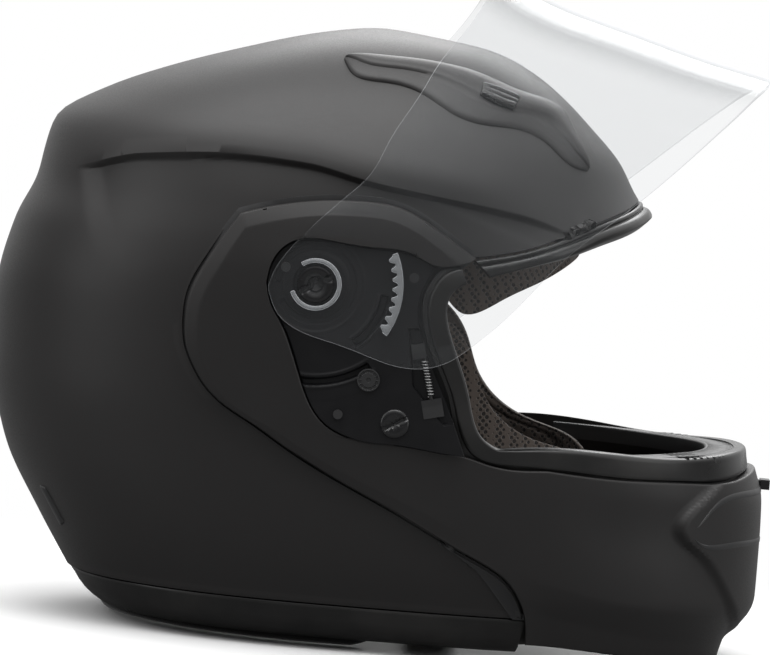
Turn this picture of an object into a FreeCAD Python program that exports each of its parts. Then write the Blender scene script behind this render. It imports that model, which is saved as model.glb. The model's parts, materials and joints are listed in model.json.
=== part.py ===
import FreeCAD, Part
import math
import os

# Modular (flip-up) full-face motorcycle helmet, size L, in millimetres.
# +X is forward, +Y the wearer's left, +Z up.  The neck roll stands on z = 0.
# The chin bar is shut and the clear visor stands raised on its top stop.

V = FreeCAD.Vector
doc = FreeCAD.newDocument("helmet")

# ---------------------------------------------------------------- sizes
SIZES = [
    ("helmet_length", 355.0, "rear of shell to front of chin bar"),
    ("helmet_width", 245.0, "over both chin bar arms at the pivots"),
    ("helmet_height", 273.6, "neck roll to crown"),
    ("shell_wall", 3.0, "outer shell wall"),
    ("liner_gap", 1.0, "shell to impact liner"),
    ("land_half", 106.5, "half distance over the shell's side lands"),
    ("arm_half", 107.0, "half distance between the chin bar arms inside"),
    ("bay_half", 113.9, "half distance over the floors of the visor bays"),
    ("plate_thick", 3.6, "visor base plate"),
    ("visor_half", 118.6, "half distance between the visor's side plates"),
    ("visor_wall", 2.2, "visor thickness"),
    ("visor_open_angle", 46.8, "shut to raised, degrees"),
    ("chin_wall", 4.0, "chin bar wall"),
    ("pad_thick", 8.0, "crown and brow comfort pad"),
    ("pivot_bolt_radius", 6.0, "chin bar pivot bolt"),
    ("bolt_head_radius", 8.6, "pivot bolt head"),
    ("bolt_head_thick", 2.0, "pivot bolt head"),
    ("bolt_length", 13.5, "pivot bolt, inner nut face to head"),
    ("nut_radius", 9.5, "pivot nut across corners"),
    ("nut_thick", 3.2, "pivot nut"),
    ("fit_gap", 0.06, "radial play of pins in their holes"),
    ("hub_radius", 8.2, "visor hub"),
    ("hub_length", 7.0, "visor hub"),
    ("hub_slot_width", 2.4, "coin slot in the hub"),
    ("ring_radius", 10.4, "moulded ring round the visor's pivot hole"),
    ("ring_bead", 0.8, "bead radius of the moulded ring"),
    ("rack_radius", 36.0, "visor click rack, mean radius"),
    ("rack_teeth", 8, "visor click rack teeth"),
    ("dial_radius", 5.0, "moulded dial"),
    ("dial_thick", 0.7, "moulded dial"),
    ("cover_radius", 6.4, "slotted cover"),
    ("cover_thick", 0.8, "slotted cover"),
    ("screw_radius", 2.1, "base plate screw head"),
    ("screw_thick", 0.8, "base plate screw head"),
    ("spring_radius", 1.25, "lock spring, mean radius"),
    ("spring_wire", 0.3, "lock spring wire radius"),
    ("spring_length", 17.6, "lock spring"),
    ("spring_pitch", 1.4, "lock spring"),
    ("block_width", 9.0, "lock slider block"),
    ("block_height", 8.0, "lock slider block"),
    ("block_thick", 2.8, "lock slider block"),
    ("shade_wall", 1.8, "inner sun shade"),
    ("shade_radius", 84.0, "sun shade, hinge line to its middle"),
    ("shade_half", 96.0, "sun shade, half the hinge span"),
    ("shade_slot", 4.6, "slot for the sun shade in the liner"),
    ("button_width", 26.0, "chin bar release button"),
    ("button_depth", 9.0, "chin bar release button"),
    ("button_height", 5.0, "chin bar release button"),
    ("strap_width", 22.0, "chin strap webbing"),
    ("strap_thick", 1.8, "chin strap webbing"),
    ("rivet_radius", 4.5, "strap rivet"),
    ("rivet_length", 8.4, "strap rivet"),
    ("latch_pin_radius", 2.4, "chin bar latch striker pin"),
    ("latch_pin_length", 10.6, "chin bar latch striker pin"),
    ("vent_rise", 3.4, "top vent housing above the shell"),
    ("vent_slide_rise", 1.6, "top vent slider above its housing"),
    ("trim_wall", 6.0, "neck trim"),
]
sheet = doc.addObject("Spreadsheet::Sheet", "sizes")
S = {}
for line, (alias, value, note) in enumerate(SIZES, start=1):
    sheet.set("A%d" % line, alias)
    sheet.set("B%d" % line, str(value))
    sheet.set("C%d" % line, note)
    sheet.setAlias("B%d" % line, alias)
    S[alias] = float(value)
doc.recompute()

KX = S["helmet_length"] / 355.0
KY = S["helmet_width"] / 245.0
KZ = S["helmet_height"] / 273.6
PIVOT_X = -32.5 * KX
PIVOT_Z = 161.7 * KZ
HINGE = (PIVOT_X, PIVOT_Z)
SHADE_HINGE = (17.0 * KX, 172.0 * KZ)
SIDES = (("right", -1.0), ("left", 1.0))
FAR = 160.0
STATION_STEP = 12.0

# ------------------------------------------------- horizontal sections
# height, rear x, front x, half width, x of the widest place
SHELL = [
    (14.0, -131, 166, 98.0, -22), (45.0, -151, 172, 105.5, -22),
    (75.0, -168, 172, 109.5, -22), (110.0, -176.5, 168, 111.3, -22),
    (145.0, -177.3, 158, 111.5, -22), (175.0, -171.5, 142, 110.5, -22),
    (195.0, -163, 120, 108.5, -22), (208.0, -160.8, 108, 105.5, -22),
    (222.0, -157, 99.7, 98.5, -22), (237.0, -134.5, 85, 87.5, -22),
    (250.0, -104, 70.5, 73.5, -18), (261.0, -71, 54, 56.0, -12),
    (268.0, -47, 36, 38.0, -8), (272.0, -28, 8, 19.0, -11),
    (273.5, -17, -7, 6.0, -12),
]
CHIN = [
    (-6.0, -186, 163.5, 98.5, -22), (8.0, -186, 166.5, 101.5, -22),
    (20.0, -186, 170.5, 104.5, -22), (30.0, -186, 175.5, 107.0, -22),
    (56.0, -186, 175.3, 111.5, -22), (76.0, -186, 174.5, 113.8, -22),
    (90.0, -186, 170.0, 115.5, -22), (110.0, -186, 165.0, 118.0, -22),
    (140.0, -186, 158.0, 121.2, -22), (165.0, -186, 148.0, 122.5, -22),
    (185.0, -186, 135.0, 120.5, -22), (206.0, -186, 116.0, 115.5, -22),
]
CAVITY = [
    (5.0, -106, 112, 80.0, -22), (60.0, -125, 118, 84.0, -22),
    (110.0, -136, 112, 86.0, -22), (150.0, -137, 96, 86.0, -22),
    (180.0, -131, 85, 83.5, -22), (200.0, -122, 78, 78.0, -22),
    (217.0, -106, 68, 67.0, -22), (232.0, -82, 50, 50.0, -18),
    (241.0, -54, 26, 30.0, -15), (245.0, -32, 2, 12.0, -14),
]
FACE = [
    (5.0, -80, 118, 62.0, -10), (60.0, -96, 122, 60.0, -10),
    (110.0, -100, 122, 64.0, -10), (160.0, -100, 120, 75.0, -10),
]
NECK = [(-2.0, -108, 62, 80.0, -22), (13.0, -112, 66, 84.0, -22), (30.0, -107, 64, 81.5, -22)]
THROAT = [(-4.0, -86, 70, 62.0, -22), (13.0, -92, 70, 66.0, -22), (33.0, -96, 70, 70.0, -22)]
TRIM = [(4.6, -119, 160, 92.0, -22), (12.0, -127.5, 162, 96.3, -22), (20.4, -134.4, 166, 99.6, -22)]
# height and front x of the shut visor
VISOR_FRONT = [
    (70.0, 190.5), (85.0, 182.0), (100.0, 173.2), (115.0, 164.2), (130.0, 156.0), (145.0, 148.2),
    (160.0, 140.2), (175.0, 132.4), (190.0, 126.4), (205.0, 122.6), (222.0, 119.6), (300.0, 110.0),
]

# ------------------------------------------------------ side outlines
ARM_BACK = [
    (36.0, 178.8), (20.5, 188.6), (10.2, 194.6), (0.0, 198.3), (-15.2, 199.4), (-29.7, 198.6),
    (-44.6, 196.3), (-58.9, 192.7), (-67.8, 189.8), (-74.6, 179.4), (-81.5, 166.9), (-85.6, 158.5),
    (-88.0, 149.5), (-88.2, 139.4), (-86.7, 129.9), (-83.6, 123.1), (-78.1, 114.7), (-69.1, 106.4),
    (-55.7, 98.9), (-40.3, 89.7), (-13.0, 75.6), (13.2, 63.5), (41.4, 49.3), (54.7, 42.9),
    (61.7, 38.2), (67.6, 31.1), (71.5, 22.7), (73.4, 9.0),
]
CHIN_UNDER = [(87.9, 8.2), (120.6, 5.1), (138.0, 0.0), (190.0, 0.0), (190.0, 90.6)]
GASKET_LOW = [(171.5, 89.8), (164.1, 87.0), (140.5, 85.4), (108.1, 85.8), (75.7, 88.0), (50.0, 88.8)]
GASKET_BACK = [(43.0, 91.0), (32.0, 116.0), (22.5, 136.0), (18.2, 147.0), (17.4, 161.4), (19.7, 166.7),
               (24.0, 172.0), (33.0, 175.0)]
EYE_BACK = [(51.0, 96.0), (47.1, 99.5), (38.5, 119.0), (31.0, 138.0), (26.5, 150.3), (25.8, 157.5),
            (28.6, 164.0), (35.0, 167.5)]
GASKET_TOP = [(190.0, 97.6), (166.5, 96.8), (139.8, 93.8), (107.3, 94.2), (75.1, 95.0)]
BAY = [
    (-40.5, 180.8), (-28.2, 181.2), (-8.4, 179.7), (7.6, 178.6), (19.0, 174.0), (15.6, 166.0),
    (14.0, 161.0), (14.8, 146.5), (19.4, 134.5), (29.0, 114.8), (39.2, 91.6), (28.9, 92.3),
    (9.1, 94.0), (-6.9, 94.4), (-14.8, 96.5), (-23.4, 100.8), (-30.0, 108.0), (-34.4, 116.5),
    (-40.8, 132.6), (-45.9, 143.1), (-50.9, 150.9), (-53.8, 160.2), (-51.9, 170.4), (-45.7, 178.3),
]
VISOR_ZONE = [
    (-25.0, 206.0), (-46.8, 180.6), (-53.2, 171.2), (-55.2, 160.2), (-52.1, 150.4), (-47.0, 142.5),
    (-42.0, 132.0), (-35.6, 116.0), (-31.0, 107.3), (-24.1, 99.8), (-15.2, 95.3), (-7.0, 93.2),
    (9.0, 92.8), (28.9, 91.1), (47.0, 88.0), (190.0, 88.0), (190.0, 240.0), (-25.0, 240.0),
]
VISOR_RAISED = [
    (-13.2, 210.8), (-20.3, 202.9), (-42.0, 179.7), (-51.6, 164.0), (-53.0, 158.9), (-51.4, 152.4),
    (-47.0, 146.8), (-42.7, 143.4), (-24.3, 137.2), (-9.4, 133.1), (1.0, 130.0), (8.8, 128.7),
    (15.9, 128.9), (23.7, 130.7), (31.1, 135.2), (41.3, 143.9), (53.0, 155.9), (75.8, 183.0),
    (92.7, 198.2), (108.0, 211.8), (153.2, 256.3), (175.0, 277.5), (186.0, 310.0), (60.0, 330.0),
    (42.5, 312.5), (35.2, 298.5), (30.1, 287.9), (20.4, 272.7), (14.4, 263.9), (6.2, 248.1),
    (-5.7, 226.6),
]
SHELL_FRONT = [
    (116.0, 240.0), (108.9, 206.4), (107.2, 204.9), (92.7, 198.2), (79.5, 192.4), (61.1, 184.4),
    (36.0, 178.1), (27.0, 168.0), (25.5, 152.0), (30.0, 138.0), (36.5, 118.0), (38.5, 100.0),
    (38.5, 78.0), (10.0, 66.5), (41.0, 48.4), (54.3, 42.0), (61.0, 37.5), (66.9, 30.5),
    (70.7, 22.4), (72.4, 8.0), (74.0, -20.0), (260.0, -20.0), (260.0, 240.0),
]
LINER_FRONT = [
    (116.0, 240.0), (112.0, 210.0), (91.0, 201.0), (60.0, 188.0), (34.0, 181.0), (23.0, 171.0),
    (20.5, 150.0), (25.0, 136.0), (31.5, 116.0), (34.0, 98.0), (34.0, 82.0), (6.0, 68.0),
    (24.0, 50.0), (24.0, -20.0), (260.0, -20.0), (260.0, 240.0),
]
LAND = [
    (-69.0, 190.2), (-75.6, 179.8), (-82.5, 167.2), (-86.7, 158.8), (-89.1, 149.7), (-89.3, 139.3),
    (-87.8, 129.6), (-84.6, 122.5), (-79.0, 114.0), (-69.8, 105.6), (-56.2, 97.9), (-40.8, 88.7),
    (-13.5, 74.5), (12.8, 62.3), (41.0, 48.2), (60.0, 38.0), (75.0, 0.0), (240.0, 0.0),
    (240.0, 212.0), (-50.0, 212.0), (-62.0, 206.0),
]
CHEEK = [
    (-30.0, 28.4), (-38.0, 60.0), (-34.0, 118.0), (-10.0, 146.0), (18.0, 154.0), (29.1, 147.8),
    (38.9, 135.0), (44.8, 119.5), (52.6, 108.8), (64.7, 100.7), (78.0, 96.5), (94.0, 91.0),
    (103.0, 78.0), (98.0, 50.0), (72.0, 33.0), (50.0, 28.4),
]
FOREHEAD = [
    (28.9, 154.7), (32.8, 151.8), (50.5, 158.8), (68.0, 168.1), (83.2, 176.3), (96.0, 184.0),
    (98.0, 206.0), (60.0, 214.0), (22.0, 196.0), (16.0, 172.0),
]
CROWN = [
    (-150.0, 112.0), (-96.0, 118.0), (-40.0, 160.0), (14.0, 171.0), (21.0, 197.5), (59.6, 215.5),
    (99.0, 207.6), (110.0, 260.0), (-150.0, 260.0),
]
TOP_VENT = [
    (-29.1, 259.2), (-20.1, 260.9), (-8.7, 261.5), (14.2, 260.7), (33.0, 257.4), (51.6, 251.2),
    (70.5, 243.7), (74.5, 236.5), (81.0, 226.0), (83.0, 219.0), (75.0, 221.0), (66.0, 228.0),
    (52.9, 234.5), (33.4, 236.0), (23.0, 238.6), (6.2, 247.2), (-10.0, 250.5), (-25.4, 253.6),
]
TOP_SLIDER = [(30.0, 250.5), (33.0, 246.0), (45.0, 241.5), (51.0, 243.5), (49.0, 248.0), (36.0, 253.0)]
CHIN_VENT = [
    (140.0, 63.0), (153.0, 80.3), (160.0, 83.0), (190.0, 83.0), (190.0, 54.5), (160.0, 54.5),
    (150.0, 50.0),
]
REAR_SLIT = [(-148.6, 58.6), (-146.0, 57.8), (-135.5, 41.8), (-136.5, 40.2), (-139.5, 42.0)]
BROW_BAND = [
    (36.0, 177.6), (61.1, 183.9), (79.5, 191.9), (92.7, 197.7), (107.2, 204.4), (125.0, 205.6),
    (125.0, 198.0), (106.7, 194.8), (93.6, 189.4), (80.5, 183.4), (61.5, 176.5), (43.4, 170.4),
    (38.0, 173.5),
]


def inset(stations, depth):
    """Stations moved inwards by a depth, along the wall's slope near the crown."""
    moved = []
    for z, rear, front, half, middle in stations:
        rise = max(0.0, (z - 150.0) / 124.0) ** 1.6
        side = math.sqrt(max(0.06, 1.0 - rise * rise))
        moved.append((z - depth * rise, rear + depth * side, front - depth * side,
                      half - depth * side, middle))
    return moved


def blended(xs, ys, x):
    """Monotone cubic through the points (xs, ys), so a surface never swells between stations."""
    steps = [b - a for a, b in zip(xs, xs[1:])]
    slopes = [(b - a) / step for a, b, step in zip(ys, ys[1:], steps)]
    tangents = [slopes[0]]
    for left, right in zip(slopes, slopes[1:]):
        tangents.append(2.0 * left * right / (left + right) if left * right > 0.0 else 0.0)
    tangents.append(slopes[-1])
    i = max(k for k in range(len(steps)) if xs[k] <= x or k == 0)
    u = (x - xs[i]) / steps[i]
    return (ys[i] * (1 + 2 * u) * (1 - u) ** 2 + steps[i] * tangents[i] * u * (1 - u) ** 2
            + ys[i + 1] * u * u * (3 - 2 * u) + steps[i] * tangents[i + 1] * u * u * (u - 1))


def finer(stations, most):
    """Stations with more put between them, so that no size changes by more than a length
    from one station to the next."""
    heights = [row[0] for row in stations]
    fine = []
    for low, high in zip(stations, stations[1:]):
        change = max(abs(b - a) for a, b in zip(low, high))
        count = max(1, math.ceil(change / most))
        fine += [low[0] + (high[0] - low[0]) * k / count for k in range(count)]
    fine.append(heights[-1])
    columns = list(zip(*stations))
    return [(z,) + tuple(blended(heights, column, z) for column in columns[1:]) for z in fine]


def rounded(z, rear, front, half, middle, power, count=32):
    """Points of a horizontal super-ellipse; its two ends may differ in length."""
    points = []
    for step in range(count):
        turn = 2.0 * math.pi * step / count
        c = math.cos(turn)
        s = math.sin(turn)
        reach = (front - middle) if c >= 0.0 else (middle - rear)
        x = middle + reach * math.copysign(abs(c) ** (2.0 / power), c)
        y = half * math.copysign(abs(s) ** (2.0 / power), s)
        points.append(V(x * KX, y * KY, z * KZ))
    return points


def lengths(points):
    """Share of the closed polygon's length reached at each point, from 0 to 1."""
    reached = [0.0]
    for a, b in zip(points, points[1:] + points[:1]):
        reached.append(reached[-1] + a.distanceToPoint(b))
    return [length / reached[-1] for length in reached]


# every section has the same knots, so the lofted skins stay light
SECTION_KNOTS = lengths(rounded(110.0, -176.5, 168.0, 111.3, -22.0, 2.35))


def section(z, rear, front, half, middle, power):
    """Closed horizontal super-ellipse as a wire."""
    curve = Part.BSplineCurve()
    curve.interpolate(Points=rounded(z, rear, front, half, middle, power), PeriodicFlag=True,
                      Parameters=SECTION_KNOTS)
    return Part.Wire([curve.toShape()])


def skin(stations, power=2.35):
    """Solid lofted through horizontal sections."""
    wires = [section(*station, power) for station in finer(stations, STATION_STEP)]
    return Part.makeLoft(wires, True)


def shell_half(x, z, power=2.35):
    """Half width of the shell at a place in side view."""
    columns = list(zip(*SHELL))
    front = blended(columns[0], columns[2], z)
    half = blended(columns[0], columns[3], z)
    middle = blended(columns[0], columns[4], z)
    return half * (1.0 - (abs(x - middle) / (front - middle)) ** power) ** (1.0 / power) * KY


def visor_section(z, front, half, depth):
    """Flat sides as far as x = 20 and an elliptic front."""
    start = 20.0
    rear = -90.0
    points = []
    for step in range(17):
        turn = math.pi * (step / 16.0 - 0.5)
        points.append(V((start + (front - depth - start) * math.cos(turn)) * KX,
                        half * KY * math.sin(turn), z * KZ))
    curve = Part.BSplineCurve()
    curve.interpolate(Points=points, Parameters=[step / 16.0 for step in range(17)])
    a = points[0]
    b = V(rear * KX, a.y, a.z)
    c = V(rear * KX, -a.y, a.z)
    d = points[-1]
    return Part.Wire([curve.toShape(), Part.makeLine(d, c), Part.makeLine(c, b), Part.makeLine(b, a)])


def visor_skin(half, depth):
    """Solid under the shut visor's surface."""
    wires = [visor_section(z, front, half, depth) for z, front in finer(VISOR_FRONT, STATION_STEP)]
    return Part.makeLoft(wires, True)


def slab(outline, y_from, y_to):
    """Side outline extruded across the helmet."""
    points = [V(x * KX, y_from * KY, z * KZ) for x, z in outline]
    face = Part.Face(Part.makePolygon(points + [points[0]]))
    return face.extrude(V(0, (y_to - y_from) * KY, 0))


def beyond(outline, half):
    """The outline extruded on both sides, outside a half width."""
    return slab(outline, -FAR, -half).fuse(slab(outline, half, FAR))


def turned(outline, angle, about):
    """Side outline turned about a point; a positive angle raises the front."""
    c = math.cos(math.radians(angle))
    s = math.sin(math.radians(angle))
    px = about[0] / KX
    pz = about[1] / KZ
    return [(px + (x - px) * c - (z - pz) * s, pz + (x - px) * s + (z - pz) * c) for x, z in outline]


def mirrored(shape):
    """The same shape on the other side of the middle plane."""
    return shape.mirror(V(0, 0, 0), V(0, 1, 0))


def rod(x, z, y_from, y_to, radius):
    """Round bar across the helmet."""
    return Part.makeCylinder(radius, abs(y_to - y_from), V(x, min(y_from, y_to), z), V(0, 1, 0))


def both(shape):
    """A right side shape and its mirror image."""
    return shape.fuse(mirrored(shape))


def biggest(shape, count=1):
    """The largest solids of a shape, so slivers of a cut are dropped."""
    solids = sorted(shape.Solids, key=lambda solid: -solid.Volume)[:count]
    if count == 1:
        return solids[0]
    return Part.makeCompound(solids)


made = []


def keep(name, obj):
    """Names a finished sub-part after its file."""
    obj.Label = name
    made.append((name, obj))
    return obj


def feature(name, shape):
    """A sub-part whose free-form shape is worked out by functions."""
    obj = doc.addObject("Part::Feature", name)
    obj.Shape = shape
    obj.Placement = shape.Placement
    return keep(name, obj)


def part(kind, name, place, turn=None, **sizes):
    """A primitive whose sizes are bound to the sheet."""
    obj = doc.addObject(kind, name)
    for prop, formula in sizes.items():
        obj.setExpression(prop, formula)
    obj.Placement = FreeCAD.Placement(V(*place), turn or FreeCAD.Rotation())
    return obj


def joined(name, pieces, kind="Part::MultiFuse"):
    """Fusion or compound of primitives as one sub-part."""
    obj = doc.addObject(kind, name)
    if kind == "Part::Compound":
        obj.Links = pieces
    else:
        obj.Shapes = pieces
    obj.Placement = FreeCAD.Placement(V(0, 0, 0), FreeCAD.Rotation())
    return keep(name, obj)


def less(name, base, tool):
    """Base cut by tool, as a document object."""
    obj = doc.addObject("Part::Cut", name)
    obj.Base = base
    obj.Tool = tool
    return obj


ACROSS = {-1.0: FreeCAD.Rotation(V(1, 0, 0), 90), 1.0: FreeCAD.Rotation(V(1, 0, 0), -90)}

# ---------------------------------------------------------- outer shell
wall = S["shell_wall"]
land = S["land_half"]
bolt_hole = both(rod(PIVOT_X, PIVOT_Z, -(land + 8) * KY, -(land - 14) * KY, S["pivot_bolt_radius"] + S["fit_gap"]))
below_seam = Part.makeBox(600, 400, 60, V(-300, -200, 20.6 * KZ - 60))
shell_out = skin(SHELL).cut(beyond(LAND, land))
shell_in = skin(inset(SHELL, wall)).cut(beyond(LAND, land - wall))
front_gap = slab(SHELL_FRONT, -FAR, FAR)
shell = shell_out.cut(shell_in).cut(front_gap).cut(below_seam).cut(bolt_hole)

# -------------------------------------------------- inner sun shade slot
shade_axis = V(SHADE_HINGE[0], 0, SHADE_HINGE[1])


def shade_band(thick, half, swing_from, swing_to):
    """Part of a barrel turned about the shade's hinge line."""
    radius = S["shade_radius"]
    power = 2.2
    outer = []
    inner = []
    for step in range(33):
        y = half * (-0.93 + 1.86 * step / 32.0)
        r = radius * (1.0 - abs(y / S["shade_half"]) ** power) ** (1.0 / power)
        outer.append(V(r + thick / 2, y, 0))
        inner.append(V(r - thick / 2, y, 0))
    top = Part.BSplineCurve()
    top.interpolate(outer)
    low = Part.BSplineCurve()
    low.interpolate(inner)
    wire = Part.Wire([top.toShape(), Part.makeLine(outer[-1], inner[-1]), low.toShape(),
                      Part.makeLine(inner[0], outer[0])])
    face = Part.Face(wire)
    face.rotate(V(0, 0, 0), V(0, 1, 0), -swing_from)
    band = face.revolve(V(0, 0, 0), V(0, 1, 0), -(swing_to - swing_from))
    band.translate(shade_axis)
    return band


shade = shade_band(S["shade_wall"], S["shade_half"], 19.0, 56.0)
shade_slot = shade_band(S["shade_slot"], S["shade_half"] * 1.02, -40.0, 58.0)

# --------------------------------------------------------- impact liner
liner_depth = wall + S["liner_gap"]
liner = skin(inset(SHELL, liner_depth)).cut(beyond(LAND, land - liner_depth))
nut_pocket = both(rod(PIVOT_X, PIVOT_Z, -(land + 4) * KY, -(land - 12) * KY, S["nut_radius"] + 1.5))
below_liner = Part.makeBox(600, 400, 60, V(-300, -200, 28.4 * KZ - 60))
liner = liner.cut(skin(CAVITY)).cut(slab(LINER_FRONT, -FAR, FAR)).cut(below_liner)
liner = liner.cut(nut_pocket).cut(shade_slot)

# --------------------------------------------------------- comfort pads
pad_out = skin(inset(CAVITY, 0.4))
pad_in = skin(inset(CAVITY, 0.4 + S["pad_thick"]))
pad_shell = pad_out.cut(pad_in)
crown_pad = pad_shell.common(slab(CROWN, -FAR, FAR))
forehead_pad = pad_shell.common(slab(FOREHEAD, -FAR, FAR))
cheek_right = pad_out.common(slab(CHEEK, -FAR, -40)).cut(skin(FACE))
neck_front = Part.makeBox(200, 400, 80, V(14 * KX, -200, -20))
flat_floor = Part.makeBox(600, 400, 60, V(-300, -200, -60))
neck_top = Part.makeBox(600, 400, 60, V(-300, -200, 28.0 * KZ))
neck_roll = skin(NECK).cut(skin(THROAT)).cut(neck_front).cut(flat_floor).cut(neck_top)
trim_front = Part.makeBox(200, 400, 80, V(71.6 * KX, -200, -20))
trim_low = Part.makeBox(600, 400, 60, V(-300, -200, 5.0 * KZ - 60))
trim_top = Part.makeBox(600, 400, 60, V(-300, -200, 20.3 * KZ))
trim_in = [(z, rear + S["trim_wall"], front - S["trim_wall"], half - S["trim_wall"], middle)
           for z, rear, front, half, middle in TRIM]
trim_in[0] = (3.0,) + trim_in[0][1:]
trim_in[-1] = (22.0,) + trim_in[-1][1:]
neck_trim = skin(TRIM).cut(skin(trim_in)).cut(trim_front).cut(trim_low).cut(trim_top)

# ------------------------------------------------------------- chin bar
chin_wall = S["chin_wall"]
arm_in = S["arm_half"]
chin_outline = ARM_BACK + CHIN_UNDER + GASKET_LOW + GASKET_BACK
middle_box = Part.makeBox(800, 2 * arm_in * KY, 500, V(-400, -arm_in * KY, -100))
chin_hollow = skin(inset(CHIN, chin_wall), 2.3).common(middle_box)
chin_bar = skin(CHIN, 2.3).common(slab(chin_outline, -FAR, FAR)).cut(chin_hollow)
chin_bar = chin_bar.cut(beyond(VISOR_ZONE, S["visor_half"] - 0.8)).cut(beyond(BAY, S["bay_half"]))
arm_bore = S["pivot_bolt_radius"] + S["fit_gap"]
head_bore = S["bolt_head_radius"] + 0.4
chin_bar = chin_bar.cut(both(rod(PIVOT_X, PIVOT_Z, -(arm_in + 12) * KY, -(arm_in - 6) * KY, arm_bore)))
head_seat = S["bay_half"] - S["bolt_head_thick"] - 0.5
chin_bar = chin_bar.cut(both(rod(PIVOT_X, PIVOT_Z, -(arm_in + 14) * KY, -head_seat * KY, head_bore)))
slider_hole = Part.makeBox(20, 6.4, 12.4, V(160, -3.2, 75.0 * KZ))
chin_bar = chin_bar.cut(slider_hole)

lining_out = skin(inset(CHIN, chin_wall + 0.5), 2.3)
lining_in = skin([(-30, -186, 140, 88, -22), (20, -186, 146, 90, -22), (60, -186, 149, 92, -22),
                  (84, -186, 150, 94, -22), (110, -186, 150, 96, -22)], 2.3)
lining_box = slab([(88, 11), (124, 8), (140, 5), (200, 5), (200, 83), (92, 83)], -FAR, FAR)
button_room = Part.makeBox(S["button_depth"] + 1.2, S["button_width"] + 1.2, 22.0,
                           V(150.4 * KX, -S["button_width"] / 2 - 0.6, 0))
chin_liner = lining_out.cut(lining_in).common(lining_box).cut(slider_hole).cut(button_room)

band = GASKET_LOW + GASKET_BACK + list(reversed(EYE_BACK)) + list(reversed(GASKET_TOP))
band = [(x, z + 0.15) if (x, z) in GASKET_LOW else (x, z) for x, z in band]
band = [(x + 0.15, z) if (x, z) in GASKET_BACK else (x, z) for x, z in band]
visor_clear = Part.makeBox(800, 2 * 117.8 * KY, 500, V(-400, -117.8 * KY, -100))
gasket = skin(inset(CHIN, 0.8), 2.3).cut(skin(inset(CHIN, 5.0), 2.3).common(middle_box))
gasket = gasket.common(slab([(190.0, 90.6)] + band, -FAR, FAR)).common(visor_clear)

deflector = skin(inset(CHIN, 5.2), 2.3).cut(skin(inset(CHIN, 8.2), 2.3))
deflector = deflector.common(slab([(104, 86), (106, 97), (140, 99), (200, 102.5), (200, 86)], -FAR, FAR))
for slot_step in range(-6, 7):
    slot = Part.makeBox(60, 2.6, 7.5, V(135, -1.3, 92.5 * KZ))
    slot.rotate(V(100, 0, 0), V(0, 0, 1), slot_step * 4.2)
    deflector = deflector.cut(slot)

# ---------------------------------------------------------------- visor
shut = turned(VISOR_RAISED, -S["visor_open_angle"], HINGE)
visor_in = S["visor_half"]
visor = visor_skin(visor_in + S["visor_wall"], 0.0).cut(visor_skin(visor_in, S["visor_wall"]))
visor = visor.common(slab(shut, -FAR, FAR))
visor.rotate(V(PIVOT_X, 0, PIVOT_Z), V(0, 1, 0), -S["visor_open_angle"])
hub_hole = S["hub_radius"] + S["fit_gap"]
visor = visor.cut(both(rod(PIVOT_X, PIVOT_Z, -(visor_in + 6) * KY, -(visor_in - 6) * KY, hub_hole)))
visor = biggest(visor)
ring_y = -(visor_in + S["visor_wall"]) * KY
ring = Part.makeTorus(S["ring_radius"], S["ring_bead"], V(PIVOT_X, ring_y, PIVOT_Z), V(0, 1, 0))
visor = visor.fuse(ring).fuse(mirrored(ring))


def rack(teeth, radius):
    """Toothed arc of the click rack, standing on the visor's outer face."""
    points = []
    first = 22.0
    last = -36.0
    for step in range(13):
        turn = math.radians(first + (last - first) * step / 12.0)
        points.append(V(PIVOT_X + (radius + 2.0) * math.cos(turn), 0,
                        PIVOT_Z + (radius + 2.0) * math.sin(turn)))
    for step in range(2 * teeth, -1, -1):
        turn = math.radians(first + (last - first) * step / (2.0 * teeth))
        reach = radius - 3.4 if step % 2 else radius - 0.9
        points.append(V(PIVOT_X + reach * math.cos(turn), 0, PIVOT_Z + reach * math.sin(turn)))
    face = Part.Face(Part.makePolygon(points + [points[0]]))
    face.translate(V(0, ring_y + 0.4, 0))
    return face.extrude(V(0, -1.2, 0))


rack_right = rack(int(S["rack_teeth"]), S["rack_radius"])
visor = visor.fuse(rack_right).fuse(mirrored(rack_right))

# ---------------------------------------------------------- base plates
plate_top = S["bay_half"] + S["plate_thick"]
bay_middle = (-18.0, 140.0)
bay_small = []
for x, z in BAY:
    away = math.hypot(x - bay_middle[0], z - bay_middle[1])
    bay_small.append((x - (x - bay_middle[0]) / away * 0.45, z - (z - bay_middle[1]) / away * 0.45))
plate = slab(bay_small, -plate_top, -(S["bay_half"] + 0.08))
plate = plate.cut(rod(PIVOT_X, PIVOT_Z, -140, -100, S["hub_radius"] + S["fit_gap"]))


def arc_slot(radius, width, first, last):
    """Curved slot about the pivot, cut half way through the plate."""
    ring_out = Part.makeCylinder(radius + width / 2, 40, V(PIVOT_X, -140, PIVOT_Z), V(0, 1, 0))
    ring_cut = Part.makeCylinder(radius - width / 2, 40, V(PIVOT_X, -140, PIVOT_Z), V(0, 1, 0))
    wedge = [HINGE]
    for step in range(9):
        turn = math.radians(first + (last - first) * step / 8.0)
        wedge.append((PIVOT_X + 90 * math.cos(turn), PIVOT_Z + 90 * math.sin(turn)))
    points = [V(x, -140, z) for x, z in wedge]
    sector = Part.Face(Part.makePolygon(points + [points[0]])).extrude(V(0, 40, 0))
    keep_out = Part.makeBox(400, 60, 400, V(-200, -(plate_top - 2.0) * KY, -20))
    return ring_out.cut(ring_cut).common(sector).cut(keep_out)


plate = plate.cut(arc_slot(30.7, 3.5, -5.0, -52.0)).cut(arc_slot(42.5, 3.0, -52.0, -94.0))
lock_bed = [(4.0, 144.5), (19.0, 146.0), (26.0, 128.0), (33.0, 106.5), (19.0, 103.5), (15.5, 112.0),
            (14.5, 122.0), (6.0, 131.0)]
plate = plate.cut(slab(lock_bed, -plate_top - 1, -(plate_top - 3.25)))

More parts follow.
